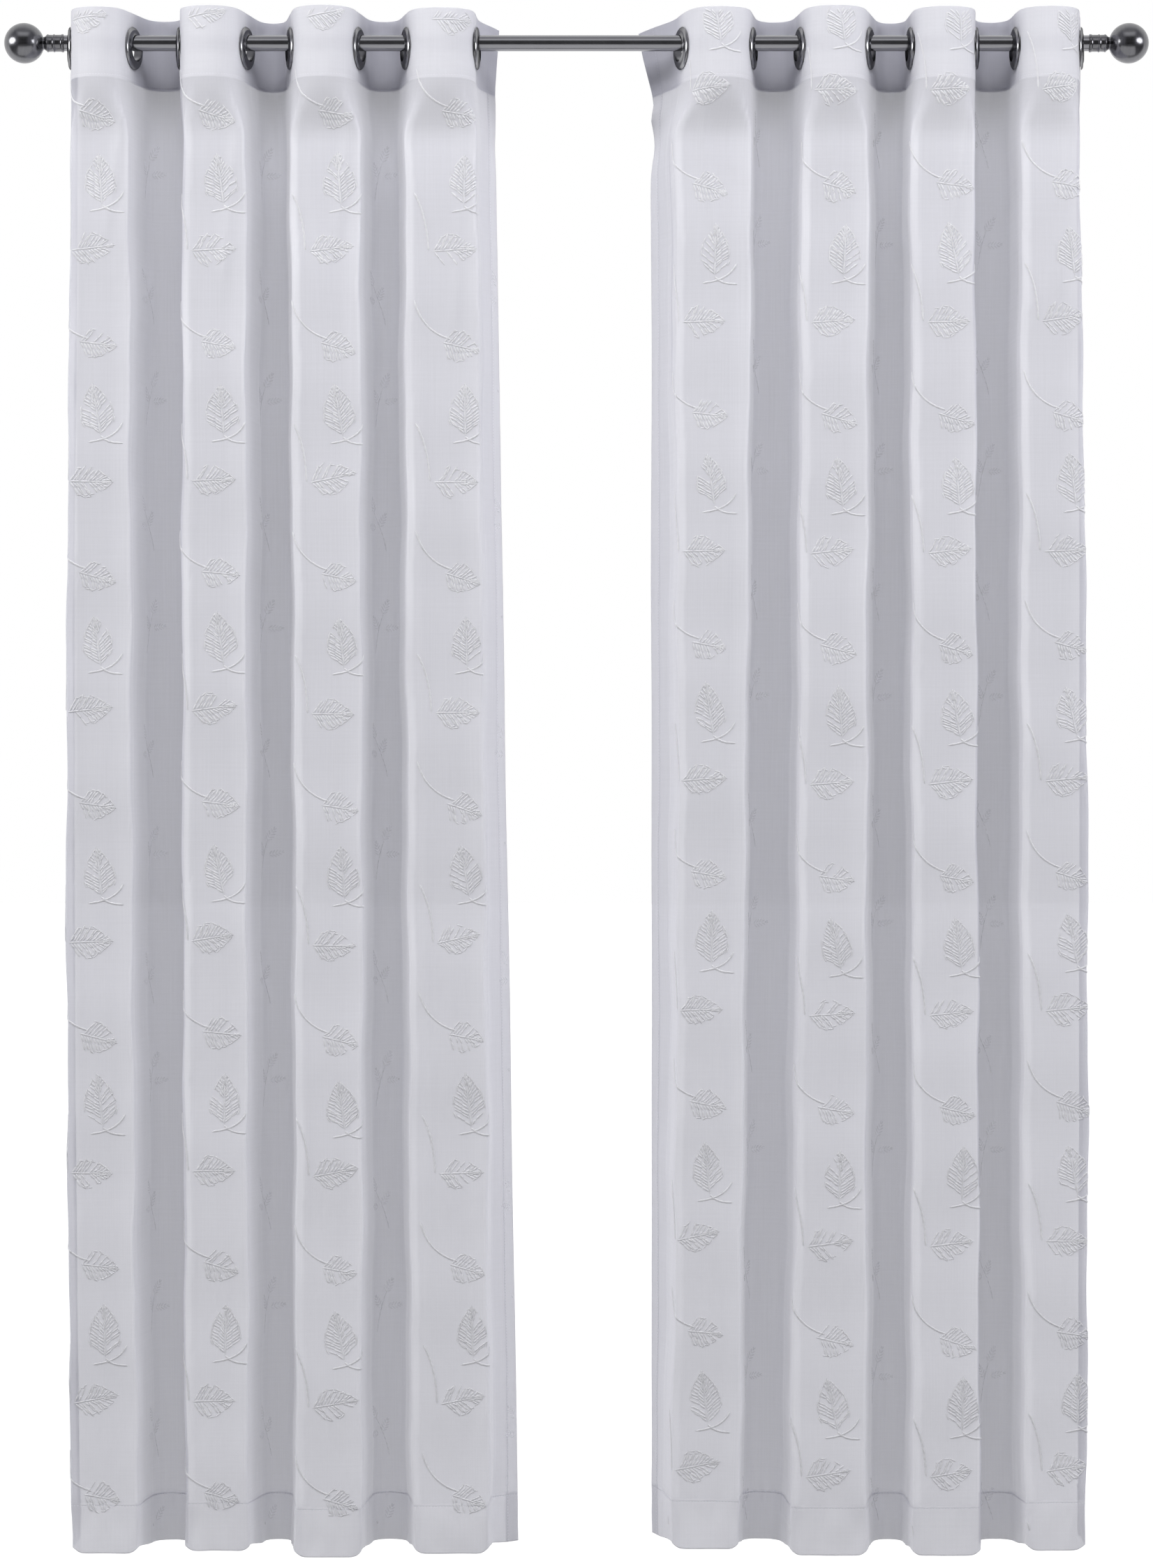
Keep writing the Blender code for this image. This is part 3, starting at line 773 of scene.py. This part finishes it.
def free_return(wall, edge_x):
    """The cloth's line from the last wall crossing back to the free edge, behind the rod."""
    x, turn = wall
    stiff = (x + STIFF_REACH * math.sin(turn), STIFF_REACH * math.cos(turn))
    rest = EDGE_MARGIN - STIFF_REACH
    across = min(max(edge_x - stiff[0], -0.95 * rest), 0.95 * rest)
    return [stiff, (stiff[0] + across, stiff[1] + math.sqrt(rest * rest - across * across))]


def plan_line(walls, edges, z):
    """The cloth's line seen from above at one height, as points with their place across the cloth."""
    crossings = [wall_at(number, wall, z) for number, wall in enumerate(walls)]
    share = heading_share(z)
    ends = [
        share * edge["heading_x"]
        + (1.0 - share) * through_three(z, edge["shoulder_x"], edge["middle_x"], edge["foot_x"])
        for edge in edges
    ]
    line = list(reversed(free_return(crossings[0], ends[0])))
    for index in range(len(crossings) - 1):
        front = index % 2 == 0
        left, right = crossings[index:index + 2]
        radius = corner_radius(front, right[0] - left[0], z)
        line += half_wave(left, right, front, radius, 1.0 - share)
    line += free_return(crossings[-1], ends[1])
    points = np.array(line)
    steps = np.hypot(*np.diff(points, axis=0).T)
    length = np.concatenate(([0.0], np.cumsum(steps)))
    return length * PANEL_WIDTH / length[-1], points


def softened(values, softness):
    """The rows of values, each smoothed across the cloth, with the ends kept."""
    reach = int(3 * softness / STEP_ACROSS)
    offsets = np.arange(-reach, reach + 1) * STEP_ACROSS
    weights = np.exp(-0.5 * (offsets / softness) ** 2)
    weights /= weights.sum()
    padded = np.concatenate([
        2 * values[:, :1] - values[:, reach:0:-1], values, 2 * values[:, -1:] - values[:, -2:-reach - 2:-1],
    ], axis=1)
    return np.stack([np.convolve(row, weights, mode="valid") for row in padded])


class Drape:
    """Where each flat place (across, down) of one panel hangs."""

    def __init__(self, side):
        walls = as_rows(WALLS[side], WALL_COLUMNS)
        edges = as_rows(EDGES[side], EDGE_COLUMNS)
        self.waves = as_rows(WAVES[side], WAVE_COLUMNS)
        self.seed = 11.0 if side == "left" else 47.0
        self.across = np.linspace(0.0, PANEL_WIDTH, round(PANEL_WIDTH / STEP_ACROSS) + 1)
        self.down = np.linspace(0.0, PANEL_LENGTH, round(PANEL_LENGTH / STEP_DOWN) + 1)
        rows_x, rows_y = [], []
        for down in self.down:
            place, line = plan_line(walls, edges, TOP_Z - down)
            rows_x.append(np.interp(self.across, place, line[:, 0]))
            rows_y.append(np.interp(self.across, place, line[:, 1]))
        stiff = np.array([heading_share(TOP_Z - down) for down in self.down])[:, None]
        x, y = [
            stiff * softened(rows, HEADING_SOFTNESS) + (1.0 - stiff) * softened(rows, BODY_SOFTNESS)
            for rows in (np.array(rows_x), np.array(rows_y))
        ]
        x = x + self.flare(FLARES[side])
        along = np.gradient(x, axis=1), np.gradient(y, axis=1)
        size = np.hypot(*along)
        self.facing = np.stack([along[1] / size, -along[0] / size, np.zeros_like(x)], axis=-1)
        z = self.heights(edges) + self.hem_corners()
        lift = self.creases(side) + self.rumple()
        self.points = np.stack([x, y, z], axis=-1) + self.facing * lift[..., None]
        # The mask of the painted highlight along the front folds' edges
        self.white = self.painted_fold_highlight()[..., None]

    def wave_values(self, name):
        """The wave table's value at each place across, blended from fold to fold."""
        centres = [EDGE_MARGIN + EYELET_SPACING * (index + 0.5) for index in range(len(self.waves))]
        values = [wave[name] for wave in self.waves]
        result = np.full_like(self.across, values[0])
        for index in range(len(values) - 1):
            share = smooth((self.across - centres[index]) / EYELET_SPACING)
            result += share * (values[index + 1] - values[index])
        return result

    def heights(self, edges):
        z = np.repeat((TOP_Z - self.down)[:, None], len(self.across), axis=1)
        band = smooth((z - SHOULDER_Z) / (TOP_Z - SHOULDER_Z))
        z = z + band * self.wave_values("rise")
        z -= smooth(self.down / PANEL_LENGTH)[:, None] * self.wave_values("drop")
        corner = smooth((TOP_Z - self.down - DROOP_END_Z) / (TOP_Z - DROOP_END_Z))[:, None]
        from_start = np.clip(1.0 - self.across / EDGE_MARGIN, 0.0, 1.0) ** 2
        from_end = np.clip(1.0 - (PANEL_WIDTH - self.across) / EDGE_MARGIN, 0.0, 1.0) ** 2
        return z - corner * (edges[0]["droop"] * from_start + edges[1]["droop"] * from_end)

    def front_edges(self, row):
        """Where across the cloth each front fold turns its left and right corners, at one row."""
        edges = []
        turn = np.abs(self.facing[row, :, 0])
        for fold in range(0, len(self.waves), 2):
            start = EDGE_MARGIN + EYELET_SPACING * fold
            inside = (self.across > start) & (self.across < start + EYELET_SPACING) & (turn < 0.6)
            edges.append((self.across[inside][0], self.across[inside][-1]))
        return edges

    def hem_corners(self):
        """How far the hem is drawn up where the front folds turn their corners."""
        drawn = np.zeros(len(self.across))
        for left, right in self.front_edges(-1):
            inside = np.minimum(self.across - left, right - self.across)
            bow = np.clip(1.0 - inside / HEM_CORNER_RADIUS, 0.0, 1.0)
            face = np.where(inside >= 0.0, 1.0 - np.sqrt(1.0 - bow ** 2), 1.0 - smooth(-inside / 0.095))
            drawn = np.maximum(drawn, face)
        drawn = softened(drawn[None, :], 0.0040)[0]
        near_hem = smooth((self.down - PANEL_LENGTH + 0.040) / 0.040)
        return near_hem[:, None] * HEM_CORNER_LIFT * drawn[None, :]

    def painted_fold_highlight(self):
        """1 along the front folds' edges, where the cloth looks densest and a painted highlight lightens
        it, and 0 away from them.
        """
        white = np.zeros((len(self.down), len(self.across)))
        for row, down in enumerate(self.down):
            free = float(smooth((down - HEADING_DEPTH) / 0.03))
            for fold, (left, right) in enumerate(self.front_edges(row)):
                after, before = self.across - left, right - self.across
                uneven = 0.85 + 0.5 * noise.noise(Vector((fold * 7.3, down * 5.0, self.seed + 9.0)))
                band = smooth((after + 0.004) / 0.003) * smooth((0.012 - after) / 0.005)
                start = smooth((before + 0.004) / 0.003)
                line = start * smooth((0.005 - before) / 0.004)
                glow = start * smooth((0.034 - before) / 0.032) * 0.45
                share = np.maximum(band, np.maximum(line, glow))
                white[row] = np.maximum(white[row], free * uneven * share)
        return white

    def flare(self, flares):
        """How far the free edges are swung along the rod, fading out towards the first eyelets."""
        shift = np.zeros((len(self.down), len(self.across)))
        for from_edge, flare in zip((self.across, PANEL_WIDTH - self.across), flares):
            near = np.clip(1.0 - from_edge / (EDGE_MARGIN * 0.7), 0.0, 1.0) ** 1.3
            shift += np.interp(self.down, FLARE_DOWN, flare)[:, None] * near
        return shift

    def creases(self, side):
        lift = np.zeros((len(self.down), len(self.across)))
        down = self.down[:, None]
        for crease in as_rows(CREASES[side], CREASE_COLUMNS):
            share = (down - crease["start"]) / (crease["end"] - crease["start"])
            ends = smooth(share / 0.25) * smooth((1.0 - share) / 0.25)
            middle = crease["across"] + crease["lean"] * np.clip(share, 0.0, 1.0)
            middle = middle + 0.0015 * np.sin(down * 14.0 + self.seed + crease["across"] * 40.0)
            profile = np.exp(-((self.across[None, :] - middle) / crease["half_width"]) ** 2)
            lift += crease["height"] * ends * profile
        return lift

    def rumple(self):
        """Uneven hang: broad soft waves below the heading, and a crumpled hem and heading."""
        lift = np.zeros((len(self.down), len(self.across)))
        coarse_across = self.across[::4]
        for row, down in enumerate(self.down):
            free = float(smooth((down - HEADING_DEPTH) / 0.12))
            hem = float(smooth((down - 1.90) / 0.20))
            head = 1.0 - float(smooth((down - 0.06) / 0.12))
            values = []
            for across in coarse_across:
                broad = noise.noise(Vector((across * 24.0, down * 3.2, self.seed)))
                small = noise.noise(Vector((across * 60.0, down * 26.0, self.seed + 5.0)))
                crumple = 0.0010 * hem + 0.0005 * head + 0.0003 * free
                values.append(0.0016 * free * broad + crumple * small)
            lift[row] = np.interp(self.across, coarse_across, values)
        return lift * self.clear_of_eyelets()

    def clear_of_eyelets(self):
        """0 under the eyelets, where the cloth is gripped flat, and 1 away from them."""
        keep = np.ones((len(self.down), len(self.across)))
        for number in range(8):
            centre = EDGE_MARGIN + EYELET_SPACING * number
            away = np.hypot(self.across[None, :] - centre, self.down[:, None] - EYELET_DROP)
            keep *= smooth((away - 0.030) / 0.020)
        return keep

    def at(self, across, down):
        """Points, facings and painted fold-edge highlight of flat places, given as arrays."""
        column = np.clip(np.asarray(across) / PANEL_WIDTH, 0.0, 1.0) * (len(self.across) - 1)
        row = np.clip(np.asarray(down) / PANEL_LENGTH, 0.0, 1.0) * (len(self.down) - 1)
        i = np.minimum(column.astype(int), len(self.across) - 2)
        j = np.minimum(row.astype(int), len(self.down) - 2)
        s = (column - i)[..., None]
        t = (row - j)[..., None]
        found = []
        for field in (self.points, self.facing, self.white):
            upper = field[j, i] * (1 - s) + field[j, i + 1] * s
            lower = field[j + 1, i] * (1 - s) + field[j + 1, i + 1] * s
            found.append(upper * (1 - t) + lower * t)
        return found


def cut_lines(start, end, step):
    return np.linspace(start, end, max(2, round((end - start) / step) + 1))


def lines_across():
    """Grid lines across the panel, closer where the cloth turns its corners."""
    lines = [0.0]
    while lines[-1] < PANEL_WIDTH - CORNER_CUT_STEP:
        fold = (lines[-1] - EDGE_MARGIN) / EYELET_SPACING
        from_middle = abs(fold - math.floor(fold) - 0.5) * EYELET_SPACING
        near = abs(from_middle - CORNER_FROM_MIDDLE) < 0.0085
        lines.append(lines[-1] + (CORNER_CUT_STEP if near else FACE_CUT_STEP))
    lines = np.array(lines)
    return lines * PANEL_WIDTH / lines[-1]


def beside(edge):
    """Grid lines close to a turned edge, so that it folds sharply."""
    return [edge - 0.0022, edge - 0.0007, edge, edge + 0.0007, edge + 0.0022]


def cut_places():
    """Where the cut cloth's grid lines lie, across and down, turnings included."""
    lines = lines_across()
    width = np.concatenate([
        cut_lines(-SIDE_TURNING, 0.0, 0.005)[:-1], beside(0.0), lines[1:-1], beside(PANEL_WIDTH),
        cut_lines(PANEL_WIDTH, PANEL_WIDTH + SIDE_TURNING, 0.005)[1:],
    ])
    stiff = HEADING_DEPTH + 0.10
    hem_top = PANEL_LENGTH - HEM_DEPTH
    length = np.concatenate([
        cut_lines(-HEADING_DEPTH, 0.0, HEADING_CUT_STEP)[:-1], beside(0.0),
        cut_lines(0.0, stiff, HEADING_CUT_STEP)[1:-1],
        cut_lines(stiff, hem_top, BODY_CUT_STEP)[:-1],
        cut_lines(hem_top, PANEL_LENGTH, 0.0100)[:-1], beside(PANEL_LENGTH),
        cut_lines(PANEL_LENGTH, PANEL_LENGTH + HEM_DEPTH, 0.0100)[1:],
    ])
    return width, length


def folded_over(place, size):
    """A place past a turned edge, brought back onto the panel, and 1 where it is turned over."""
    behind = (place < 0.0) | (place > size)
    place = np.where(place < 0.0, -place, place)
    return np.where(place > size, 2 * size - place, place), behind.astype(float)


def cut_eyelet_holes(cloth):
    """Cut round holes through the heading and its turning, and round off the cut grid."""
    deselect_all()
    shape = bmesh.new()
    shape.from_mesh(cloth.data)
    shape.verts.ensure_lookup_table()
    flat = [Vector(vert.co) for vert in shape.verts]
    centres = [
        Vector((EDGE_MARGIN + EYELET_SPACING * number, sign * EYELET_DROP, 0.0))
        for number in range(8) for sign in (1, -1)
    ]
    inside = set()
    for index, place in enumerate(flat):
        if any((place - centre).length < HOLE_RADIUS - 0.001 for centre in centres):
            inside.add(index)
    bmesh.ops.delete(shape, geom=[shape.verts[i] for i in inside], context="VERTS")
    for vert in shape.verts:
        if not vert.is_boundary:
            continue
        for centre in centres:
            away = vert.co - centre
            if away.length < HOLE_RADIUS * 1.6:
                vert.co = centre + away.normalized() * HOLE_RADIUS
    shape.to_mesh(cloth.data)
    shape.free()


def cut_cloth(name):
    """The flat cut cloth: a grid at its real cut size, with its eyelet holes."""
    width, length = cut_places()
    deselect_all()
    bpy.ops.mesh.primitive_grid_add(
        x_subdivisions=len(width) - 1, y_subdivisions=len(length) - 1, size=1.0, calc_uvs=True,
    )
    cloth = bpy.context.object
    cloth.name = name
    points = np.empty(len(cloth.data.vertices) * 3)
    cloth.data.vertices.foreach_get("co", points)
    points = points.reshape(-1, 3)
    column = np.rint((points[:, 0] + 0.5) * (len(width) - 1)).astype(int)
    row = np.rint((0.5 - points[:, 1]) * (len(length) - 1)).astype(int)
    points[:, 0] = width[column]
    points[:, 1] = length[row]
    cloth.data.vertices.foreach_set("co", points.ravel())
    cut_eyelet_holes(cloth)
    return cloth


def flat_uv(mesh, places):
    """Write each corner's flat place as its UV, in metres."""
    layer = mesh.uv_layers.active or mesh.uv_layers.new(name="UVMap")
    corners = np.empty(len(mesh.loops), dtype=int)
    mesh.loops.foreach_get("vertex_index", corners)
    layer.data.foreach_set("uv", places[corners].ravel())


def write_attribute(mesh, name, values):
    mesh.attributes.new(name, "FLOAT", "POINT").data.foreach_set("value", values)


def make_curtain(side, drape, material):
    """Cut a panel, turn its edges over and hang it in its folds."""
    cloth = cut_cloth("cloth_" + side)
    mesh = cloth.data
    flat = np.empty(len(mesh.vertices) * 3)
    mesh.vertices.foreach_get("co", flat)
    flat = flat.reshape(-1, 3)
    across, side_turned = folded_over(flat[:, 0], PANEL_WIDTH)
    down, end_turned = folded_over(flat[:, 1], PANEL_LENGTH)
    points, facing, white = drape.at(across, down)
    behind = TURNING_GAP * (side_turned + end_turned * 1.3)
    hung = points - facing * behind[:, None]
    mesh.vertices.foreach_set("co", hung.ravel())
    flat_uv(mesh, np.stack([across, down], axis=-1))
    # The "fold" attribute carries the mask of the painted highlight along the front folds' edges
    write_attribute(mesh, "fold", white.ravel())
    write_attribute(mesh, "turned", np.maximum(side_turned, end_turned))
    # The "deep" attribute is the mask of the painted shade in the heading's valleys: 1 where the cloth lies
    # towards the back
    write_attribute(mesh, "deep", smooth((points[:, 1] + 0.015) / 0.040))
    mesh.flip_normals()
    mesh.update()
    select_only(cloth)
    bpy.ops.object.shade_smooth()
    return finish_piece(cloth, "cloth_" + side, material)


# Embroidery

def stitch_form():
    """One long domed stitch, lying along X from 0 to 1, half as wide as 1 each way and 1 high."""
    deselect_all()
    bpy.ops.mesh.primitive_grid_add(
        x_subdivisions=4, y_subdivisions=2, size=1.0, location=(0.5, 0.0, 0.0),
    )
    form = bpy.context.object
    bpy.ops.object.transform_apply(location=True)
    points = np.array([vert.co for vert in form.data.vertices])
    faces = [tuple(face.vertices) for face in form.data.polygons]
    along = points[:, 0]
    across = points[:, 1] * 2.0
    fullness = np.sqrt(np.clip(1.0 - (2.0 * along - 1.0) ** 4 * 0.90, 0.0, 1.0))
    points[:, 1] = across * fullness
    points[:, 2] = (1.0 - across ** 2) * (0.35 + 0.65 * fullness)
    bpy.data.objects.remove(form, do_unlink=True)
    return points, faces


def curve_points(start, lean, end, count):
    t = np.linspace(0.0, 1.0, count)[:, None]
    start, lean, end = (np.array(point) for point in (start, lean, end))
    return (1 - t) ** 2 * start + 2 * t * (1 - t) * lean + t ** 2 * end


def leaf_stitches(leaf, chance):
    """The satin stitches of one leaf: a midrib, its veins, the fill between them and its rim."""
    angle = math.radians(leaf["points"])
    ahead = np.array((math.cos(angle), math.sin(angle)))
    aside = np.array((-ahead[1], ahead[0]))
    base = np.array((leaf["across"], leaf["down"]))

    def place(along, out):
        return base + ahead * along * leaf["length"] + aside * out * leaf["width"] / 2

    def half_width(along):
        swell = math.sin(math.pi * min(1.0, along ** 0.72)) ** 0.8
        return swell * (1.0 + leaf["lobe"] * math.sin(along * leaf["veins"] * math.pi) * 0.5)

    stitches = []
    fine = leaf["width"] < 0.02
    if not fine:
        for part in range(4):
            stitches.append((place(part / 4, 0.0), place((part + 1.1) / 4, 0.0), STEM_WIDTH * 0.8, 1.0))
    for side in (-1.0, 1.0):
        for vein in range(leaf["veins"]):
            root = 0.04 + 0.86 * vein / leaf["veins"]
            tip = min(root + 0.20, 0.97)
            reach = half_width(tip)
            wide = STITCH_WIDTH * chance.uniform(0.8, 1.15)
            if fine:
                edge = place(tip, reach * side)
                stitches.append((place(root, 0.06 * side), edge, wide * 0.8, TWIG_SHARE))
                continue
            if chance.random() < 0.10:
                continue
            middle = 0.5 + chance.uniform(-0.06, 0.06)
            mid = place(root + (tip - root) * middle, reach * middle * side)
            mid = mid + np.array((chance.uniform(-0.0012, 0.0012), chance.uniform(-0.0012, 0.0012)))
            stitches.append((place(root, 0.08 * side), mid, wide, 0.9 + chance.uniform(-0.25, 0.3)))
            stitches.append((mid, place(tip, reach * side), wide, 0.8 + chance.uniform(-0.15, 0.25)))
            before, after = max(tip - 0.05, 0.02), min(tip + 0.07, 0.99)
            if chance.random() < 0.65:
                stitches.append((place(before, half_width(before) * side * 1.02),
                                 place(after, half_width(after) * side * 1.02), wide * 0.7, 0.7))
    return stitches


def stem_stitches(stem):
    length = math.dist(stem["start"], stem["lean"]) + math.dist(stem["lean"], stem["end"])
    count = max(3, round(length / STEM_STITCH)) + 1
    points = curve_points(stem["start"], stem["lean"], stem["end"], count)
    share = 1.0 if stem["end"][0] < EYELET_SPACING else TWIG_SHARE
    return [
        (first, first + (second - first) * 1.55, STEM_WIDTH * math.sqrt(share), share)
        for first, second in zip(points[:-1], points[1:])
    ]


def repeat_stitches(chance):
    """One repeat of the design, its leaves a little different each time."""
    stitches = []
    for leaf in as_rows(LEAVES, LEAF_COLUMNS):
        leaf["points"] += chance.uniform(-7.0, 7.0)
        leaf["length"] *= chance.uniform(0.93, 1.05)
        leaf["width"] *= chance.uniform(0.92, 1.06)
        stitches += leaf_stitches(leaf, chance)
    for stem in as_rows(STEMS, STEM_COLUMNS):
        stitches += stem_stitches(stem)
    return stitches


def on_cloth(point):
    """True where a flat place can carry thread: clear of the edges and the eyelets."""
    if not 0.003 < point[0] < PANEL_WIDTH - 0.003 or not 0.003 < point[1] < PANEL_LENGTH - 0.003:
        return False
    nearest = round((point[0] - EDGE_MARGIN) / EYELET_SPACING) * EYELET_SPACING + EDGE_MARGIN
    return math.hypot(point[0] - nearest, point[1] - EYELET_DROP) > EYELET_CLEARANCE


def make_embroidery(side, drape, material):
    """The raised white leaves and stems of one panel, stitch by stitch."""
    chance = random.Random(side)
    form, faces = stitch_form()
    first_across, first_down = DESIGN_START[side]
    flat, heights, fine = [], [], []
    for column in range(-1, 5):
        for row in range(0, 8):
            corner = np.array((first_across + column * REPEAT_ACROSS, first_down + row * REPEAT_DOWN))
            for start, end, wide, high in repeat_stitches(chance):
                start, end = start + corner, end + corner
                fine_in_heading = high < 0.5 and min(start[1], end[1]) < HEADING_DEPTH + 0.012
                at_hem_fold = max(start[1], end[1]) > PANEL_LENGTH - 0.022
                if not (on_cloth(start) and on_cloth(end)) or at_hem_fold or fine_in_heading:
                    continue
                run = end - start
                aside = np.array((-run[1], run[0])) / max(np.hypot(*run), 1e-6)
                flat.append(start + form[:, :1] * run + form[:, 1:2] * aside * wide / 2)
                heights.append(THREAD_LIFT + form[:, 2] * THREAD_HEIGHT * high)
                fine.append(np.full(len(form), 1.0 if high < 0.5 else 0.0))
    flat, heights, fine = np.concatenate(flat), np.concatenate(heights), np.concatenate(fine)
    points, facing, _ = drape.at(flat[:, 0], flat[:, 1])
    raised = points + facing * heights[:, None]
    count = len(raised) // len(form)
    starts = [copy * len(form) for copy in range(count)]
    all_faces = [tuple(start + index for index in face) for start in starts for face in faces]
    mesh = bpy.data.meshes.new("embroidery_" + side)
    mesh.from_pydata(raised.tolist(), [], all_faces)
    mesh.update()
    piece = bpy.data.objects.new("embroidery_" + side, mesh)
    bpy.context.scene.collection.objects.link(piece)
    flat_uv(mesh, flat)
    write_attribute(mesh, "fine", fine)
    select_only(piece)
    bpy.ops.object.shade_smooth()
    return finish_piece(piece, "embroidery_" + side, material)


# Metalwork

def turned_piece(name, outline, sides, material):
    """A piece turned on the rod's axis: a filled circle drawn out from each outline row to the next."""
    deselect_all()
    x, radius = outline[0]
    bpy.ops.mesh.primitive_circle_add(
        vertices=sides, radius=radius, fill_type="NGON", location=(x, 0.0, 0.0),
        rotation=(0.0, math.pi / 2, 0.0),
    )
    piece = bpy.context.object
    bpy.ops.object.transform_apply(location=True, rotation=True, scale=True)
    bpy.ops.object.mode_set(mode="EDIT")
    bpy.ops.mesh.select_mode(type="FACE")
    bpy.ops.mesh.select_all(action="SELECT")
    for (x, radius), (next_x, next_radius) in zip(outline, outline[1:]):
        bpy.ops.mesh.extrude_region_move(TRANSFORM_OT_translate={"value": (next_x - x, 0.0, 0.0)})
        share = next_radius / radius
        bpy.ops.transform.resize(value=(1.0, share, share), center_override=(next_x, 0.0, 0.0))
    bpy.ops.mesh.select_all(action="SELECT")
    bpy.ops.mesh.normals_make_consistent(inside=False)
    bpy.ops.object.mode_set(mode="OBJECT")
    bpy.ops.object.shade_smooth_by_angle(angle=math.radians(40))
    return finish_piece(piece, name, material)


def make_rod(material):
    """The rod, with its rolled ends inside the finials' sockets."""
    end = ROD_HALF_LENGTH
    half = [(end, ROD_RADIUS * 0.55), (end, ROD_RADIUS * 0.90)]
    half += [(x, ROD_RADIUS) for x in (end - 0.0008, end - 0.02, 0.5, 0.25, 0.0)]
    outline = [(-x, radius) for x, radius in half] + [(x, radius) for x, radius in reversed(half[:-1])]
    rod = turned_piece("rod_bar", outline, 96, material)
    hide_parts("rod")
    return rod


def make_finial(side, material):
    """A ball on its neck, with the ridged collar and socket that slide over the rod's end."""
    outline = []
    neck = math.acos((BALL_CENTRE - NECK_START) / BALL_RADIUS)
    for step in range(BALL_STEPS + 1):
        angle = 0.03 + (math.pi - neck - 0.03) * step / BALL_STEPS
        outline.append((BALL_CENTRE + BALL_RADIUS * math.cos(angle), BALL_RADIUS * math.sin(angle)))
    outline += FINIAL_COLLAR
    sign = -1.0 if side == "left" else 1.0
    outline = [(sign * x, radius) for x, radius in outline]
    finial = turned_piece("ball_finial_" + side, outline, 72, material)
    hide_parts("finial_" + side)


def eyelet_form():
    """A pressed ring on the X axis: a flat torus with a straight bore, grooved for the cloth."""
    deselect_all()
    bpy.ops.mesh.primitive_torus_add(
        major_segments=48, minor_segments=20, major_radius=EYELET_MIDDLE_RADIUS,
        minor_radius=EYELET_HALF_BAND, rotation=(0.0, math.pi / 2, 0.0),
    )
    ring = bpy.context.object
    bpy.ops.object.transform_apply(location=True, rotation=True, scale=True)
    bpy.ops.object.mode_set(mode="EDIT")
    bpy.ops.mesh.select_mode(type="FACE")
    bpy.ops.mesh.select_all(action="SELECT")
    bpy.ops.transform.resize(value=(EYELET_FLATNESS, 1.0, 1.0), center_override=(0.0, 0.0, 0.0))
    bpy.ops.mesh.select_all(action="DESELECT")
    shape = bmesh.from_edit_mesh(ring.data)
    inner = EYELET_MIDDLE_RADIUS - EYELET_HALF_BAND * 0.52
    for vert in shape.verts:
        away = math.hypot(vert.co.y, vert.co.z)
        if away < inner:
            share = (EYELET_MIDDLE_RADIUS - EYELET_HALF_BAND) / away
            vert.co = (vert.co.x * EYELET_BARREL, vert.co.y * share, vert.co.z * share)
    outer = EYELET_MIDDLE_RADIUS + EYELET_HALF_BAND * 0.93
    for face in shape.faces:
        middle = face.calc_center_median()
        face.select_set(math.hypot(middle.y, middle.z) > outer)
    bmesh.update_edit_mesh(ring.data)
    share = EYELET_GROOVE_RADIUS / (EYELET_MIDDLE_RADIUS + EYELET_HALF_BAND)
    bpy.ops.mesh.extrude_region_move(TRANSFORM_OT_translate={"value": (0.0, 0.0, 0.0)})
    bpy.ops.transform.resize(value=(0.8, share, share), center_override=(0.0, 0.0, 0.0))
    bpy.ops.object.mode_set(mode="OBJECT")
    bpy.ops.object.shade_smooth_by_angle(angle=math.radians(50))
    return ring


def make_eyelets(side, material):
    """Eight rings of one panel, each on its wall of cloth."""
    form = eyelet_form()
    rings = []
    for number, wall in enumerate(as_rows(WALLS[side], WALL_COLUMNS)):
        ring = form.copy()
        ring.data = form.data.copy()
        bpy.context.scene.collection.objects.link(ring)
        turn = -math.radians(wall["heading_turn"])
        ring.data.transform(
            Matrix.Translation((wall["rod_x"], 0.0, EYELET_HEIGHT)) @ Matrix.Rotation(turn, 4, "Z")
        )
        name = "ring_%s_%d" % (side, number + 1)
        finish_piece(ring, name, material)
        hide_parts("eyelet_%s_%d" % (side, number + 1))
        rings.append(ring)
    bpy.data.objects.remove(form, do_unlink=True)
    return rings


def main():
    bpy.context.scene.view_settings.view_transform = "Standard"
    make_camera()
    make_world()
    make_lights()
    make_floor()
    weave = voile_weave_group()
    voile = voile_material(weave, stitch_row_group())
    thread = embroidery_material()
    wear = metal_wear_group()
    pewter = {name: pewter_material(name, wear) for name in PEWTER}
    rod = make_rod(pewter["rod"])
    for side in ("left", "right"):
        make_finial(side, pewter["finial"])
        drape = Drape(side)
        rings = make_eyelets(side, pewter["eyelet"])
        embroidery = make_embroidery(side, drape, thread)
        cloth = make_curtain(side, drape, voile)
        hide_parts("curtain_" + side)


main()
